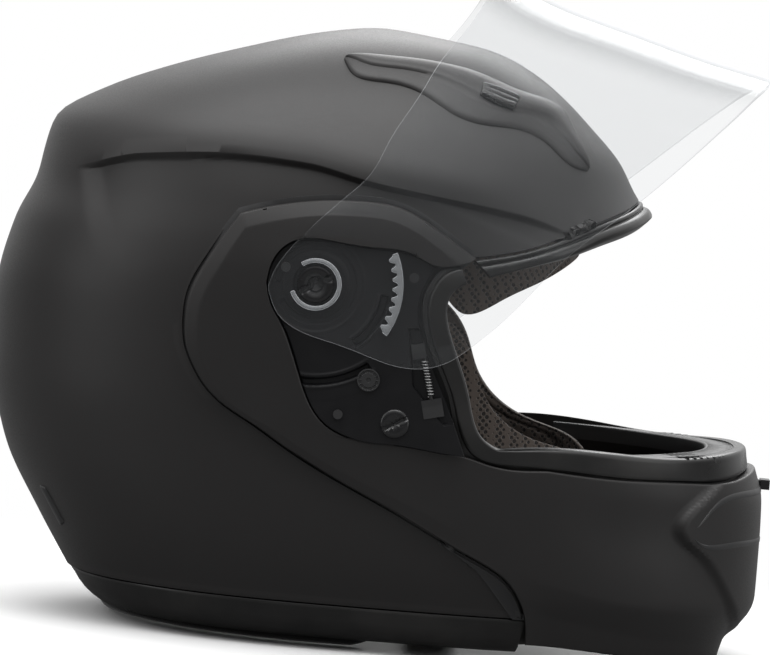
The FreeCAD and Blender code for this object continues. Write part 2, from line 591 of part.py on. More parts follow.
# ------------------------------------------------------- small moulding
vent_out = skin(inset(SHELL, -S["vent_rise"])).common(slab(TOP_VENT, -FAR, -20))
vent_right = biggest(vent_out.cut(skin(inset(SHELL, -0.15))))
slide_rise = S["vent_rise"] + 0.25
slide_out = skin(inset(SHELL, -slide_rise - S["vent_slide_rise"])).common(slab(TOP_SLIDER, -FAR, -20))
slide_right = biggest(slide_out.cut(skin(inset(SHELL, -slide_rise))))
slit_out = skin(inset(SHELL, -1.2)).common(slab(REAR_SLIT, -FAR, -12))
slit_right = biggest(slit_out.cut(skin(inset(SHELL, -0.15))))
brow_skin = skin(inset(SHELL, -2.6)).cut(skin(inset(SHELL, 4.2)))
brow = brow_skin.common(slab(BROW_BAND, -FAR, FAR))
brow = biggest(brow.common(Part.makeBox(800, 2 * (land - 1.0) * KY, 500, V(-400, -(land - 1.0) * KY, -100))))
chin_vent = skin(inset(CHIN, -1.6), 2.3).cut(skin(inset(CHIN, -0.15), 2.3))
chin_vent = biggest(chin_vent.common(slab(CHIN_VENT, -FAR, FAR)).cut(slider_hole))

# --------------------------------------------------- sub-parts: shell
feature("outer_shell", biggest(shell))
feature("impact_liner", biggest(liner))
feature("crown_pad", biggest(crown_pad))
feature("forehead_pad", biggest(forehead_pad))
cheek_right = biggest(cheek_right)
feature("cheek_pad_right", cheek_right)
feature("cheek_pad_left", mirrored(cheek_right))
feature("neck_roll", biggest(neck_roll))
feature("neck_trim", biggest(neck_trim))
feature("brow_gasket", brow)
feature("top_vent_right", vent_right)
feature("top_vent_left", mirrored(vent_right))
feature("top_vent_slider_right", slide_right)
feature("top_vent_slider_left", mirrored(slide_right))
feature("rear_vent_slits", Part.makeCompound([slit_right, mirrored(slit_right)]))
feature("sun_shade", shade)

# ------------------------------------------- sub-parts: chin bar, visor
feature("chin_bar", biggest(chin_bar))
feature("chin_liner", biggest(chin_liner))
feature("eyeport_gasket", biggest(gasket))
feature("breath_deflector", biggest(deflector))
feature("chin_vent_frame", chin_vent)
feature("visor", visor)
feature("visor_plate_right", plate)
feature("visor_plate_left", mirrored(plate))

# ------------------------------------------------- sub-parts: hardware
bolts = []
nuts = []
hubs = []
for side, sign in SIDES:
    inner = sign * (land - wall - S["nut_thick"] - 0.1) * KY
    spin = ACROSS[sign]
    stem = part("Part::Cylinder", "bolt_stem_" + side, (PIVOT_X, inner, PIVOT_Z), spin,
                Radius="sizes.pivot_bolt_radius", Height="sizes.bolt_length")
    head_from = inner + sign * (S["bolt_length"] - S["bolt_head_thick"])
    head = part("Part::Cylinder", "bolt_head_" + side, (PIVOT_X, head_from, PIVOT_Z), spin,
                Radius="sizes.bolt_head_radius", Height="sizes.bolt_head_thick")
    bolts += [stem, head]
    nut = part("Part::Prism", "nut_body_" + side, (PIVOT_X, inner, PIVOT_Z), spin,
               Circumradius="sizes.nut_radius", Height="sizes.nut_thick")
    nut_bore = part("Part::Cylinder", "nut_bore_" + side, (PIVOT_X, inner, PIVOT_Z), spin,
                    Radius="sizes.pivot_bolt_radius + 0.02", Height="sizes.nut_thick + 1")
    nuts.append(less("pivot_nut_" + side, nut, nut_bore))
    hub_from = sign * (S["bay_half"] + 0.3) * KY
    hub = part("Part::Cylinder", "hub_body_" + side, (PIVOT_X, hub_from, PIVOT_Z), spin,
               Radius="sizes.hub_radius", Height="sizes.hub_length")
    hub_slot = part("Part::Box", "hub_slot_" + side,
                    (PIVOT_X - 6.0, hub_from + sign * (S["hub_length"] - 0.9), PIVOT_Z - 1.2), None,
                    Length="12 mm", Width="4 mm", Height="sizes.hub_slot_width")
    if sign < 0:
        hub_slot.Placement.Base.y -= 4.0
    hubs.append(less("visor_hub_" + side, hub, hub_slot))
joined("pivot_bolts", bolts)
joined("pivot_nuts", nuts, "Part::Compound")
joined("visor_hubs", hubs, "Part::Compound")

covers = []
dials = []
screws = []
for side, sign in SIDES:
    face_y = sign * (plate_top + 0.05) * KY
    spin = ACROSS[sign]
    cover = part("Part::Cylinder", "cover_body_" + side, (7.0 * KX, face_y, 104.0 * KZ), spin,
                 Radius="sizes.cover_radius", Height="sizes.cover_thick")
    groove = part("Part::Box", "cover_groove_" + side, (2.0 * KX, face_y, 103.2 * KZ), None,
                  Length="10 mm", Width="3 mm", Height="1.6 mm")
    groove.Placement.Base.y = face_y + (0.45 if sign > 0 else -3.45)
    covers.append(less("slotted_cover_" + side, cover, groove))
    dials.append(part("Part::Cylinder", "dial_body_" + side, (-6.0 * KX, face_y, 122.0 * KZ), spin,
                      Radius="sizes.dial_radius", Height="sizes.dial_thick"))
    for count, (x, z) in enumerate(((-46.0, 168.0), (-18.0, 106.0), (10.0, 168.0))):
        screws.append(part("Part::Cylinder", "screw_%s_%d" % (side, count), (x * KX, face_y, z * KZ),
                           spin, Radius="sizes.screw_radius", Height="sizes.screw_thick"))
joined("slotted_covers", covers, "Part::Compound")
joined("moulded_dials", dials, "Part::Compound")
joined("plate_screws", screws, "Part::Compound")

# lock slider: a block with a stem and a hook, leaning back, and its spring
LEAN = 14.0
lean_x = math.cos(math.radians(LEAN))
lean_z = math.sin(math.radians(LEAN))


def leaning(across, along):
    """Point on the leaning lock, from its block's lower rear corner."""
    return (19.5 * KX + across * lean_x - along * lean_z, 107.0 * KZ + across * lean_z + along * lean_x)


for side, sign in SIDES:
    tilt = FreeCAD.Rotation(V(0, 1, 0), -LEAN)
    bed_y = sign * (plate_top - 3.0) * KY
    low_y = bed_y if sign > 0 else bed_y - S["block_thick"]
    stem_y = bed_y + sign * 0.5 * S["block_thick"]
    middle = 0.5 * S["block_width"]
    spring_at = S["block_height"] + S["spring_wire"] + 0.1
    hook_at = spring_at + S["spring_length"] + S["spring_wire"] + 0.1
    bx, bz = leaning(0.0, 0.0)
    block = part("Part::Box", "lock_block_" + side, (bx, low_y, bz), tilt,
                 Length="sizes.block_width", Width="sizes.block_thick", Height="sizes.block_height")
    sx, sz = leaning(middle, S["block_height"] - 2.0)
    stem = part("Part::Cylinder", "lock_stem_" + side, (sx, stem_y, sz), tilt,
                Radius="0.8 mm", Height="sizes.spring_length + 4")
    hx, hz = leaning(middle - 5.0, hook_at)
    hook = part("Part::Box", "lock_hook_" + side, (hx, low_y, hz), tilt,
                Length="6 mm", Width="sizes.block_thick", Height="6.5 mm")
    joined("visor_lock_" + side, [block, stem, hook])
    cx, cz = leaning(middle, spring_at)
    coil = part("Part::Helix", "lock_coil_" + side, (cx, stem_y, cz), tilt,
                Radius="sizes.spring_radius", Height="sizes.spring_length", Pitch="sizes.spring_pitch")
    wire = part("Part::Circle", "lock_wire_" + side, (0, 0, 0), None, Radius="sizes.spring_wire")
    doc.recompute()
    start = coil.Shape.Edges[0].valueAt(coil.Shape.Edges[0].FirstParameter)
    along = coil.Shape.Edges[0].tangentAt(coil.Shape.Edges[0].FirstParameter)
    wire.Placement = FreeCAD.Placement(start, FreeCAD.Rotation(V(0, 0, 1), along))
    sweep = doc.addObject("Part::Sweep", "visor_lock_spring_" + side)
    sweep.Sections = [wire]
    sweep.Spine = (coil, ["Edge%d" % n for n in range(1, len(coil.Shape.Edges) + 1)])
    sweep.Solid = True
    sweep.Frenet = True
    sweep.Placement = FreeCAD.Placement(V(0, 0, 0), FreeCAD.Rotation())
    keep("visor_lock_spring_" + side, sweep)

# chin vent slider: a pin on a plate behind the chin's front wall
pin = part("Part::Box", "vent_pin", (164.0 * KX, -3.0, 80.4 * KZ), None,
           Length="16.4 mm", Width="6 mm", Height="3.6 mm")
knob = part("Part::Box", "vent_knob", (176.2 * KX, -5.0, 80.0 * KZ), None,
            Length="4.2 mm", Width="10 mm", Height="4.4 mm")
joined("chin_vent_slider", [pin, knob])

# release button under the chin, on two pegs
button = part("Part::Box", "button_body", (151.0 * KX, -13.0, 8.0 * KZ), None,
              Length="sizes.button_depth", Width="sizes.button_width", Height="sizes.button_height")
keep("release_button", button)

# latch strikers on the shell and open forks on the chin bar
pins = []
for side, sign in SIDES:
    pin_seat = shell_half(54.4, 27.6) - wall - 0.2 - S["latch_pin_length"]
    pin_at = (52.0 * KX, sign * pin_seat, 30.0 * KZ)
    pins.append(part("Part::Cylinder", "striker_" + side, pin_at, ACROSS[sign],
                     Radius="sizes.latch_pin_radius", Height="sizes.latch_pin_length"))
joined("latch_strikers", pins, "Part::Compound")

# chin strap: two webbing ends hung from the shell's lower edge
strap_w = S["strap_width"]
STRAP_X = 25.0 * KX


def webbing(path):
    """Flat band along a path across the helmet, drawn as a thin closed outline."""
    half = S["strap_thick"] / 2
    upper = []
    lower = []
    for step, (y, z) in enumerate(path):
        ahead = path[min(step + 1, len(path) - 1)]
        behind = path[max(step - 1, 0)]
        run = math.hypot(ahead[0] - behind[0], ahead[1] - behind[1])
        ny = -(ahead[1] - behind[1]) / run
        nz = (ahead[0] - behind[0]) / run
        upper.append(V(STRAP_X, y + ny * half, z + nz * half))
        lower.append(V(STRAP_X, y - ny * half, z - nz * half))
    top = Part.BSplineCurve()
    top.interpolate(upper)
    low = Part.BSplineCurve()
    low.interpolate(lower)
    wire = Part.Wire([top.toShape(), Part.makeLine(upper[-1], lower[-1]), low.toShape(),
                      Part.makeLine(lower[0], upper[0])])
    return Part.Face(wire).extrude(V(strap_w, 0, 0))


right_path = [(-84.0, 26.0), (-79.4, 17.5), (-66.0, 12.2), (-48.0, 9.6), (-30.0, 8.6), (-14.0, 9.4)]
left_path = [(84.0, 26.0), (79.4, 17.5), (66.0, 12.2), (48.0, 9.6), (30.0, 8.6), (12.0, 8.2)]
feature("chin_strap_right", webbing(right_path))
feature("chin_strap_left", webbing(left_path))
rivets = []
for side, sign in SIDES:
    spin = ACROSS[sign]
    rivet_seat = shell_half(40.5, 21.5) - wall - 0.2 - S["rivet_length"]
    rivets.append(part("Part::Cylinder", "rivet_" + side, (36.0 * KX, sign * rivet_seat, 26.0 * KZ), spin,
                       Radius="sizes.rivet_radius", Height="sizes.rivet_length"))
joined("strap_rivets", rivets, "Part::Compound")

# --------------------------------------------------------------- output
doc.recompute()
os.makedirs("parts", exist_ok=True)
for obj in doc.Objects:
    if "Invalid" in obj.State or "Error" in obj.State:
        raise RuntimeError("bad object: " + obj.Label)
for name, obj in made:
    if obj.Shape.isNull() or not obj.Shape.isValid() or not obj.Shape.Solids:
        raise RuntimeError("bad shape: " + name)
for name, obj in made:
    obj.Shape.exportStep("parts/" + name + ".step")
    box = obj.Shape.BoundBox
    print("%-24s solids %d vol %9.0f  x %7.1f %7.1f  y %7.1f %7.1f  z %7.1f %7.1f" % (
        name, len(obj.Shape.Solids), obj.Shape.Volume, box.XMin, box.XMax, box.YMin, box.YMax,
        box.ZMin, box.ZMax))
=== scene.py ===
import sys
import json
import math

import bmesh
import bpy
import numpy as np
from bpy.props import FloatProperty, FloatVectorProperty, IntProperty, PointerProperty
from mathutils import Matrix, Vector
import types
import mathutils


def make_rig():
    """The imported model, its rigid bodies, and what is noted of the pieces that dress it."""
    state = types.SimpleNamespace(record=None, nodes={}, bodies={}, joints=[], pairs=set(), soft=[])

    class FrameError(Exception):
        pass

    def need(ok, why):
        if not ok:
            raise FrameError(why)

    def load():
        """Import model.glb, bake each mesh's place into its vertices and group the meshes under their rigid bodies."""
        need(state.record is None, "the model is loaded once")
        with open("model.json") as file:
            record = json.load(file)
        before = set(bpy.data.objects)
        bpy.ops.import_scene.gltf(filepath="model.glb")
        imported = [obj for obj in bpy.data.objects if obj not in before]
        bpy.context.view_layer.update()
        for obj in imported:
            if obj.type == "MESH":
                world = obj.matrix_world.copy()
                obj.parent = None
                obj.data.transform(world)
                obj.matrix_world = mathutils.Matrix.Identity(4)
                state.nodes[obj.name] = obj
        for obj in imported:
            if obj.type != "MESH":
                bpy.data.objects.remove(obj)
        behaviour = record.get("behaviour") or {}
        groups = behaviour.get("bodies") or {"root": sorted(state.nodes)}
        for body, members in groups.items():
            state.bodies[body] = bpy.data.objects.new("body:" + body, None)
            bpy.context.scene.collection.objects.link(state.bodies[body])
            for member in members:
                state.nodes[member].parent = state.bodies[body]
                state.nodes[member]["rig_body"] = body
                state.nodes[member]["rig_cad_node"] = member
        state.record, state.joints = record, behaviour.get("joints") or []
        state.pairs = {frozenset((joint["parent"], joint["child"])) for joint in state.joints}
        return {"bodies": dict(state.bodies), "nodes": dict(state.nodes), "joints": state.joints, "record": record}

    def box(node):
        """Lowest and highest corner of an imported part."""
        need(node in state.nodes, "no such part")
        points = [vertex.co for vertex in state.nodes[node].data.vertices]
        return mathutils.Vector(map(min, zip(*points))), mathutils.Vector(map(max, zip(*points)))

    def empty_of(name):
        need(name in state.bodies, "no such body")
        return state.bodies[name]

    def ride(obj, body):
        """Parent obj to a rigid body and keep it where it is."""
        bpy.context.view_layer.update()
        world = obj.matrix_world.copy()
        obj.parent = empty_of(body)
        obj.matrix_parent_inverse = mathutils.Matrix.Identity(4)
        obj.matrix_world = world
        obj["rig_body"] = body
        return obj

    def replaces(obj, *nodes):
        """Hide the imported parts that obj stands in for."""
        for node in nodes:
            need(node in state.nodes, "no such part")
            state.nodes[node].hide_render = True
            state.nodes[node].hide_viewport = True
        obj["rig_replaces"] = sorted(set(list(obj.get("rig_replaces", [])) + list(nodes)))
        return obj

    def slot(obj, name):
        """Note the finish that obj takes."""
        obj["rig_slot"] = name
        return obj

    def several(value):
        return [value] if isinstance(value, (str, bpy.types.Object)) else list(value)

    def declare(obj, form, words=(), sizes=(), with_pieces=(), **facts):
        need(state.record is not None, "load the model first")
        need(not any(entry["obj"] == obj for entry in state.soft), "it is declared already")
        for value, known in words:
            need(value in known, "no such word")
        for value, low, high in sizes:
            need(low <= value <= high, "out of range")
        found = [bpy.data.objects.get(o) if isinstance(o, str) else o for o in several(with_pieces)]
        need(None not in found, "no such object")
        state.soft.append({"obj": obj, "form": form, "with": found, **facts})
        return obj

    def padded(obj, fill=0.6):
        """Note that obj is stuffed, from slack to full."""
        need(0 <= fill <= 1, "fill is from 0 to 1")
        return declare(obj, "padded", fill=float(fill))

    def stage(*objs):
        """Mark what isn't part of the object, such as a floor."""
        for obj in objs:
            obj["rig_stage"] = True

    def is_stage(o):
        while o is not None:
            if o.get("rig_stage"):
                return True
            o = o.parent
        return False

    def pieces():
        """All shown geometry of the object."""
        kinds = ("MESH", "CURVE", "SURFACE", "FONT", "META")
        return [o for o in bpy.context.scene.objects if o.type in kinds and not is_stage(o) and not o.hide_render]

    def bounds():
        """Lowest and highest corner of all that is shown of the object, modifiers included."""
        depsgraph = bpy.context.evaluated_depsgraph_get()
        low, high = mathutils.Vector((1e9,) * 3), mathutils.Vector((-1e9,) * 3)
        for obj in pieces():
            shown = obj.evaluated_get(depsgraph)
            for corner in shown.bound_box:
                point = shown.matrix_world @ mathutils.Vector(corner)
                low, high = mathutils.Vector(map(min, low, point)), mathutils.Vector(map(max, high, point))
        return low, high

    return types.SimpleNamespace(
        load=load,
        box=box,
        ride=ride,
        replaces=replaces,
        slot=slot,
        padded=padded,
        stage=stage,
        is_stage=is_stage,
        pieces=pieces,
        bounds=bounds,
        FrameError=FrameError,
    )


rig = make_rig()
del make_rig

bl_info = {
    "name": "Flip-up Helmet",
    "version": (1, 0, 0),
    "blender": (4, 5, 0),
    "location": "3D View > Sidebar > Helmet",
    "description": "Builds a flip-up motorcycle helmet around its packed frame",
    "category": "Object",
}

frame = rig.load()
CAD_LOW, CAD_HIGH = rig.bounds()

MM = 0.001
SIDES = (("right", -1.0), ("left", 1.0))


def box(node):
    """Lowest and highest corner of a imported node, in millimetres."""
    low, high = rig.box(node)
    return np.array(low) / MM, np.array(high) / MM


HUB_LOW, HUB_HIGH = box("visor_hubs")
PIVOT = 0.5 * (HUB_LOW + HUB_HIGH)[[0, 2]]
HUB_FACE = HUB_HIGH[1]
PLATE_TOP = box("visor_plate_left")[1][1]
VISOR_SIDE = 118.6
VISOR_WALL = 2.2
VISOR_RAISED = 46.8        # degrees from shut
SIDES_END = 20.0           # x at which the visor's flat sides begin
FLAT_RUN = 100.0           # millimetres to a unit of angle on the flat sides
OPEN_TOP = 900.0           # far above a skin that has no crown
HEAD_MIDDLE = np.array([-20.0, 0.0, 110.0])
LAND_REACH = 105.9         # widest reach of the land under a base plate
ARM_LINING = 107.3         # reach of an arm's inner face

# Horizontal sections of the skins: height, rear x, front x, half width, x of the widest place.
SHELL = np.array([
    (14.0, -131, 166, 98.0, -22), (45.0, -151, 172, 105.5, -22), (75.0, -168, 172, 109.5, -22),
    (110.0, -176.5, 168, 111.3, -22), (145.0, -177.3, 158, 111.5, -22),
    (175.0, -171.5, 142, 110.5, -22),
    (195.0, -163, 120, 108.5, -22), (208.0, -160.8, 108, 105.5, -22), (222.0, -157, 99.7, 98.5, -22),
    (237.0, -134.5, 85, 87.5, -22), (250.0, -104, 70.5, 73.5, -18), (261.0, -71, 54, 56.0, -12),
    (268.0, -47, 36, 38.0, -8), (272.0, -28, 8, 19.0, -11), (273.5, -17, -7, 6.0, -12),
    (273.7, -12, -12, 0.0, -12),
])
CHIN = np.array([
    (-6.0, -186, 163.5, 98.5, -22), (8.0, -186, 166.5, 101.5, -22), (20.0, -186, 170.5, 104.5, -22),
    (30.0, -186, 175.5, 107.0, -22), (56.0, -186, 175.3, 111.5, -22), (76.0, -186, 174.5, 113.8, -22),
    (90.0, -186, 170.0, 115.5, -22), (110.0, -186, 165.0, 118.0, -22), (140.0, -186, 158.0, 121.2, -22),
    (165.0, -186, 148.0, 122.5, -22), (185.0, -186, 135.0, 120.5, -22), (206.0, -186, 116.0, 115.5, -22),
])
CAVITY = np.array([
    (5.0, -106, 112, 80.0, -22), (60.0, -125, 118, 84.0, -22), (110.0, -136, 112, 86.0, -22),
    (150.0, -137, 96, 86.0, -22), (180.0, -131, 85, 83.5, -22), (200.0, -122, 78, 78.0, -22),
    (217.0, -106, 68, 67.0, -22), (232.0, -82, 50, 50.0, -18), (241.0, -54, 26, 30.0, -15),
    (245.0, -32, 2, 12.0, -14), (245.6, -14, -14, 0.0, -14),
])
TRIM = np.array([(4.6, -119, 160, 92.0, -22), (12.0, -127.5, 162, 96.3, -22), (20.4, -134.4, 166, 99.6, -22)])
# Front edge of the shut visor's surface: height, x.
VISOR_FRONT = np.array([
    (70.0, 190.5), (85.0, 182.0), (100.0, 173.2), (115.0, 164.2), (130.0, 156.0), (145.0, 148.2),
    (160.0, 140.2), (175.0, 132.4), (190.0, 126.4), (205.0, 122.6), (222.0, 119.6), (300.0, 110.0),
])

# Side-view lines: x, height.
ARM_TOP = [(36.0, 178.8), (20.5, 188.6), (10.2, 194.6), (0.0, 198.3), (-15.2, 199.4), (-29.7, 198.6),
           (-44.6, 196.3), (-58.9, 192.7), (-67.8, 189.8)]
ARM_REAR = [(-67.8, 189.8), (-74.6, 179.4), (-81.5, 166.9), (-85.6, 158.5), (-88.0, 149.5), (-88.2, 139.4)]
ARM_LOW = [(-88.2, 139.4), (-86.7, 129.9), (-83.6, 123.1), (-78.1, 114.7), (-69.1, 106.4), (-55.7, 98.9),
           (-40.3, 89.7), (-13.0, 75.6), (13.2, 63.5), (41.4, 49.3), (54.7, 42.9), (61.7, 38.2),
           (67.6, 31.1), (71.5, 22.7), (73.4, 9.0)]
CHIN_EDGE = [(73.4, 9.0), (87.9, 8.2), (120.6, 5.1), (146.0, 1.9), (163.9, -0.6)]
RIM_LOW = [(170.2, 89.6), (164.1, 87.0), (140.5, 85.4), (108.1, 85.8), (75.7, 88.0), (50.0, 88.8)]
GASKET_BACK = [(43.0, 91.0), (32.0, 116.0), (22.5, 136.0), (18.2, 147.0), (17.4, 161.4), (19.7, 166.7),
               (24.0, 172.0), (33.0, 175.0)]
EYE_BACK = [(51.0, 96.0), (47.1, 99.5), (38.5, 119.0), (31.0, 138.0), (26.5, 150.3), (25.8, 157.5),
            (28.6, 164.0), (35.0, 167.5)]
EYE_LOW = [(168.0, 99.9), (160.0, 98.9), (139.8, 96.6), (107.3, 97.2), (75.1, 97.6)]
BAY_LOW = [(39.2, 91.6), (28.9, 92.3), (9.1, 94.0), (-6.9, 94.4), (-14.8, 96.5), (-23.4, 100.8),
           (-30.0, 108.0), (-34.4, 116.5), (-40.8, 132.6), (-45.9, 143.1), (-50.9, 150.9), (-53.8, 160.2),
           (-51.9, 170.4), (-45.7, 178.3), (-40.5, 180.8)]
BAY_TOP = [(-40.5, 180.8), (-28.2, 181.2), (-8.4, 179.7), (7.6, 178.6), (19.0, 174.0)]
BAY_FRONT = [(19.0, 174.0), (15.6, 166.0), (14.0, 161.0), (14.8, 146.5), (19.4, 134.5), (29.0, 114.8),
             (39.2, 91.6)]
BROW_TOP = [(109.5, 206.3), (107.2, 204.9), (92.7, 198.2), (79.5, 192.4), (61.1, 184.4), (36.0, 178.1)]
BROW_LOW = [(114.0, 198.5), (106.7, 194.8), (93.6, 189.4), (80.5, 183.4), (61.5, 176.5), (43.4, 170.4)]
RIDGE = [(-141.5, 202.3), (-113.9, 210.7), (-68.6, 214.7), (-41.0, 213.4), (-12.2, 207.7), (10.0, 204.6),
         (56.2, 198.2), (80.8, 190.9)]
REAR_FOLD = [(-141.5, 202.3), (-130.9, 170.4), (-117.6, 148.7)]
VISOR_LOWER = [(-53.0, 158.9), (-51.4, 152.4), (-47.0, 146.8), (-42.7, 143.4), (-24.3, 137.2),
               (-9.4, 133.1), (1.0, 130.0), (8.8, 128.7), (15.9, 128.9), (23.7, 130.7), (31.1, 135.2),
               (41.3, 143.9), (53.0, 155.9), (75.8, 183.0), (92.7, 198.2), (108.0, 211.8),
               (153.2, 256.3), (164.4, 266.8)]
VISOR_UPPER = [(-53.0, 158.9), (-51.6, 164.0), (-42.0, 179.7), (-20.3, 202.9), (-13.2, 210.8),
               (-5.7, 226.6), (6.2, 248.1), (14.4, 263.9), (20.4, 272.7), (30.1, 287.9), (35.2, 298.5)]
VISOR_FOLD = [(-13.4, 210.8), (75.8, 183.0)]
CHEEK = [(-30.0, 28.4), (-38.0, 60.0), (-34.0, 118.0), (-10.0, 146.0), (18.0, 154.0), (29.1, 147.8),
         (38.9, 135.0), (44.8, 119.5), (52.6, 108.8), (64.7, 100.7), (78.0, 96.5), (94.0, 91.0),
         (103.0, 78.0), (98.0, 50.0), (72.0, 33.0), (50.0, 28.4)]
TOP_VENT_UP = [(-29.1, 259.2), (-20.1, 260.9), (-8.7, 261.5), (14.2, 260.7), (33.0, 257.4),
               (51.6, 251.2), (70.5, 243.7), (74.5, 236.5), (81.0, 226.0), (83.0, 219.0)]
TOP_VENT_LOW = [(-29.1, 259.2), (-25.4, 253.6), (-10.0, 250.5), (6.2, 247.2), (23.0, 238.6),
                (33.4, 236.0), (52.9, 234.5), (66.0, 228.0), (75.0, 221.0), (83.0, 219.0)]


# ---------------------------------------------------------------- curves and skins

def eased(low, high, value):
    """0 up to low, 1 from high, and the S curve 3u^2 - 2u^3 between."""
    u = np.clip((value - low) / (high - low), 0.0, 1.0)
    return u * u * (3.0 - 2.0 * u)


def monotone(xs, ys, x):
    """Cubic through the points (xs, ys) whose slope at a point is the harmonic mean of its
    two chords' slopes, or level at a turning point, so it never swells between them."""
    xs = np.asarray(xs, float)
    ys = np.asarray(ys, float)
    step = np.diff(xs)
    slope = np.diff(ys) / step
    product = slope[:-1] * slope[1:]
    total = np.where(product > 0.0, slope[:-1] + slope[1:], 1.0)
    inner = np.where(product > 0.0, 2.0 * product / total, 0.0)
    tangent = np.concatenate([slope[:1], inner, slope[-1:]])
    x = np.clip(x, xs[0], xs[-1])
    i = np.clip(np.searchsorted(xs, x, side="right") - 1, 0, len(step) - 1)
    u = (x - xs[i]) / step[i]
    return (ys[i] * (1 + 2 * u) * (1 - u) ** 2 + step[i] * tangent[i] * u * (1 - u) ** 2
            + ys[i + 1] * u * u * (3 - 2 * u) + step[i] * tangent[i + 1] * u * u * (u - 1))


def travelled(points):
    """Length run along a line from its start to each of its points."""
    return np.concatenate([[0.0], np.cumsum(np.linalg.norm(np.diff(points, axis=0), axis=1))])


def heading(line):
    """Unit direction of travel at each point of a line."""
    way = np.gradient(line, axis=0)
    return way / np.linalg.norm(way, axis=1)[:, None]


def spread(points, count):
    """The points of a fine line, set out again at even steps along it."""
    run = travelled(points)
    even = np.linspace(0.0, run[-1], count)
    return np.stack([np.interp(even, run, column) for column in points.T], axis=1)


def flowing(points, count):
    """Natural cubic spline over the chord length through the points, set out at even steps."""
    points = np.asarray(points, float)
    reach = travelled(points)
    gap = np.diff(reach)
    size = len(reach)
    matrix = np.eye(size)
    mid = np.arange(1, size - 1)
    matrix[mid, mid - 1] = gap[:-1]
    matrix[mid, mid] = 2.0 * (gap[:-1] + gap[1:])
    matrix[mid, mid + 1] = gap[1:]
    bend = np.zeros_like(points)
    bend[1:-1] = 6.0 * np.diff(np.diff(points, axis=0) / gap[:, None], axis=0)
    bend = np.linalg.solve(matrix, bend)
    s = np.linspace(0.0, reach[-1], 24 * size)
    i = np.clip(np.searchsorted(reach, s, side="right") - 1, 0, size - 2)
    a = ((reach[i + 1] - s) / gap[i])[:, None]
    b = 1.0 - a
    h = gap[i][:, None]
    fine = (a * points[i] + b * points[i + 1]
            + ((a ** 3 - a) * bend[i] + (b ** 3 - b) * bend[i + 1]) * h * h / 6.0)
    return spread(fine, count)


def chain(*pieces):
    """Smooth stretches, each (points, count), joined end to end with a corner at each joint."""
    lines = [flowing(points, count) for points, count in pieces]
    return np.concatenate([lines[0]] + [line[1:] for line in lines[1:]])


def aside(line, gap):
    """A side-view line moved to its left by a gap."""
    way = heading(line)
    return line + gap * np.stack([-way[:, 1], way[:, 0]], axis=1)


class Skin:
    """Surface through horizontal super-ellipses, |x/a|^p + |y/b|^p = 1, whose rear, front, half
    width and widest place are smooth curves of the height, kept at even steps of reach, the root
    of the depth under the top."""

    def __init__(self, stations, power, top):
        self.power = power
        self.top = top
        heights = stations[:, 0]
        ends = np.sqrt(np.maximum(top - heights[[-1, 0]], 0.0))
        self.reach = np.linspace(ends[0], ends[1], 900)
        kernel = np.exp(-0.5 * (np.arange(-30, 31) / 9.0) ** 2)
        kernel /= kernel.sum()
        self.columns = []
        for values in stations[:, 1:].T:
            line = monotone(heights, values, top - self.reach ** 2)
            longer = np.concatenate([2 * line[0] - line[30:0:-1], line,
                                     2 * line[-1] - line[-2:-32:-1]])
            self.columns.append(np.convolve(longer, kernel, mode="valid"))

    def sizes(self, z):
        """Rear, front, half width and widest place at a height."""
        reach = np.sqrt(np.maximum(self.top - z, 0.0))
        return [np.interp(reach, self.reach, column) for column in self.columns]

    def angle(self, x, z):
        """Angle round the section, from 0 in front to pi behind, of a place in side view."""
        rear, front, _, middle = self.sizes(z)
        reach = np.where(x >= middle, front - middle, middle - rear)
        share = np.clip(np.abs(x - middle) / np.maximum(reach, 1e-6), 0.0, 1.0)
        turn = np.arccos(share ** (self.power / 2.0))
        return np.where(x >= middle, turn, math.pi - turn)

    def place(self, turn, z):
        """Points at an angle and a height, on the wearer's right."""
        rear, front, half, middle = self.sizes(z)
        c = np.cos(turn)
        s = np.sin(turn)
        reach = np.where(c >= 0.0, front - middle, middle - rear)
        x = middle + reach * np.sign(c) * np.abs(c) ** (2.0 / self.power)
        y = -half * np.sign(s) * np.abs(s) ** (2.0 / self.power)
        return np.stack([x, y, np.broadcast_to(z, x.shape)], axis=-1)

    def line(self, side_view, count):
        """A side-view line as (angle, height), set out at even steps along the surface."""
        turn = self.angle(side_view[:, 0], side_view[:, 1])
        points = self.place(turn, side_view[:, 1])
        run = travelled(points)
        even = np.linspace(0.0, run[-1], count)
        return np.stack([np.interp(even, run, turn), np.interp(even, run, side_view[:, 1])], axis=1)

    def depth(self, x, z):
        """Half width of the surface at a place in side view."""
        return -self.place(self.angle(x, z), z)[..., 1]


class Shield:
    """The shut visor's surface: flat sides as far as SIDES_END, then half an ellipse to the front."""

    def sizes(self, z):
        """Front x at a height."""
        return monotone(VISOR_FRONT[:, 0], VISOR_FRONT[:, 1], z)

    def angle(self, x, z):
        """Radians from the front on the ellipse, then distance over FLAT_RUN on the flat."""
        share = np.clip((x - SIDES_END) / (self.sizes(z) - SIDES_END), 0.0, 1.0)
        flat = 0.5 * math.pi + (SIDES_END - x) / FLAT_RUN
        return np.where(x > SIDES_END, np.arccos(share), flat)

    def place(self, turn, z):
        """Points at an angle and a height, on the wearer's right."""
        bow = np.minimum(turn, 0.5 * math.pi)
        past = np.maximum(turn - 0.5 * math.pi, 0.0)
        x = SIDES_END + (self.sizes(z) - SIDES_END) * np.cos(bow) - FLAT_RUN * past
        y = -(VISOR_SIDE + VISOR_WALL) * np.sin(bow)
        return np.stack([x, y, np.broadcast_to(z, x.shape)], axis=-1)

    line = Skin.line


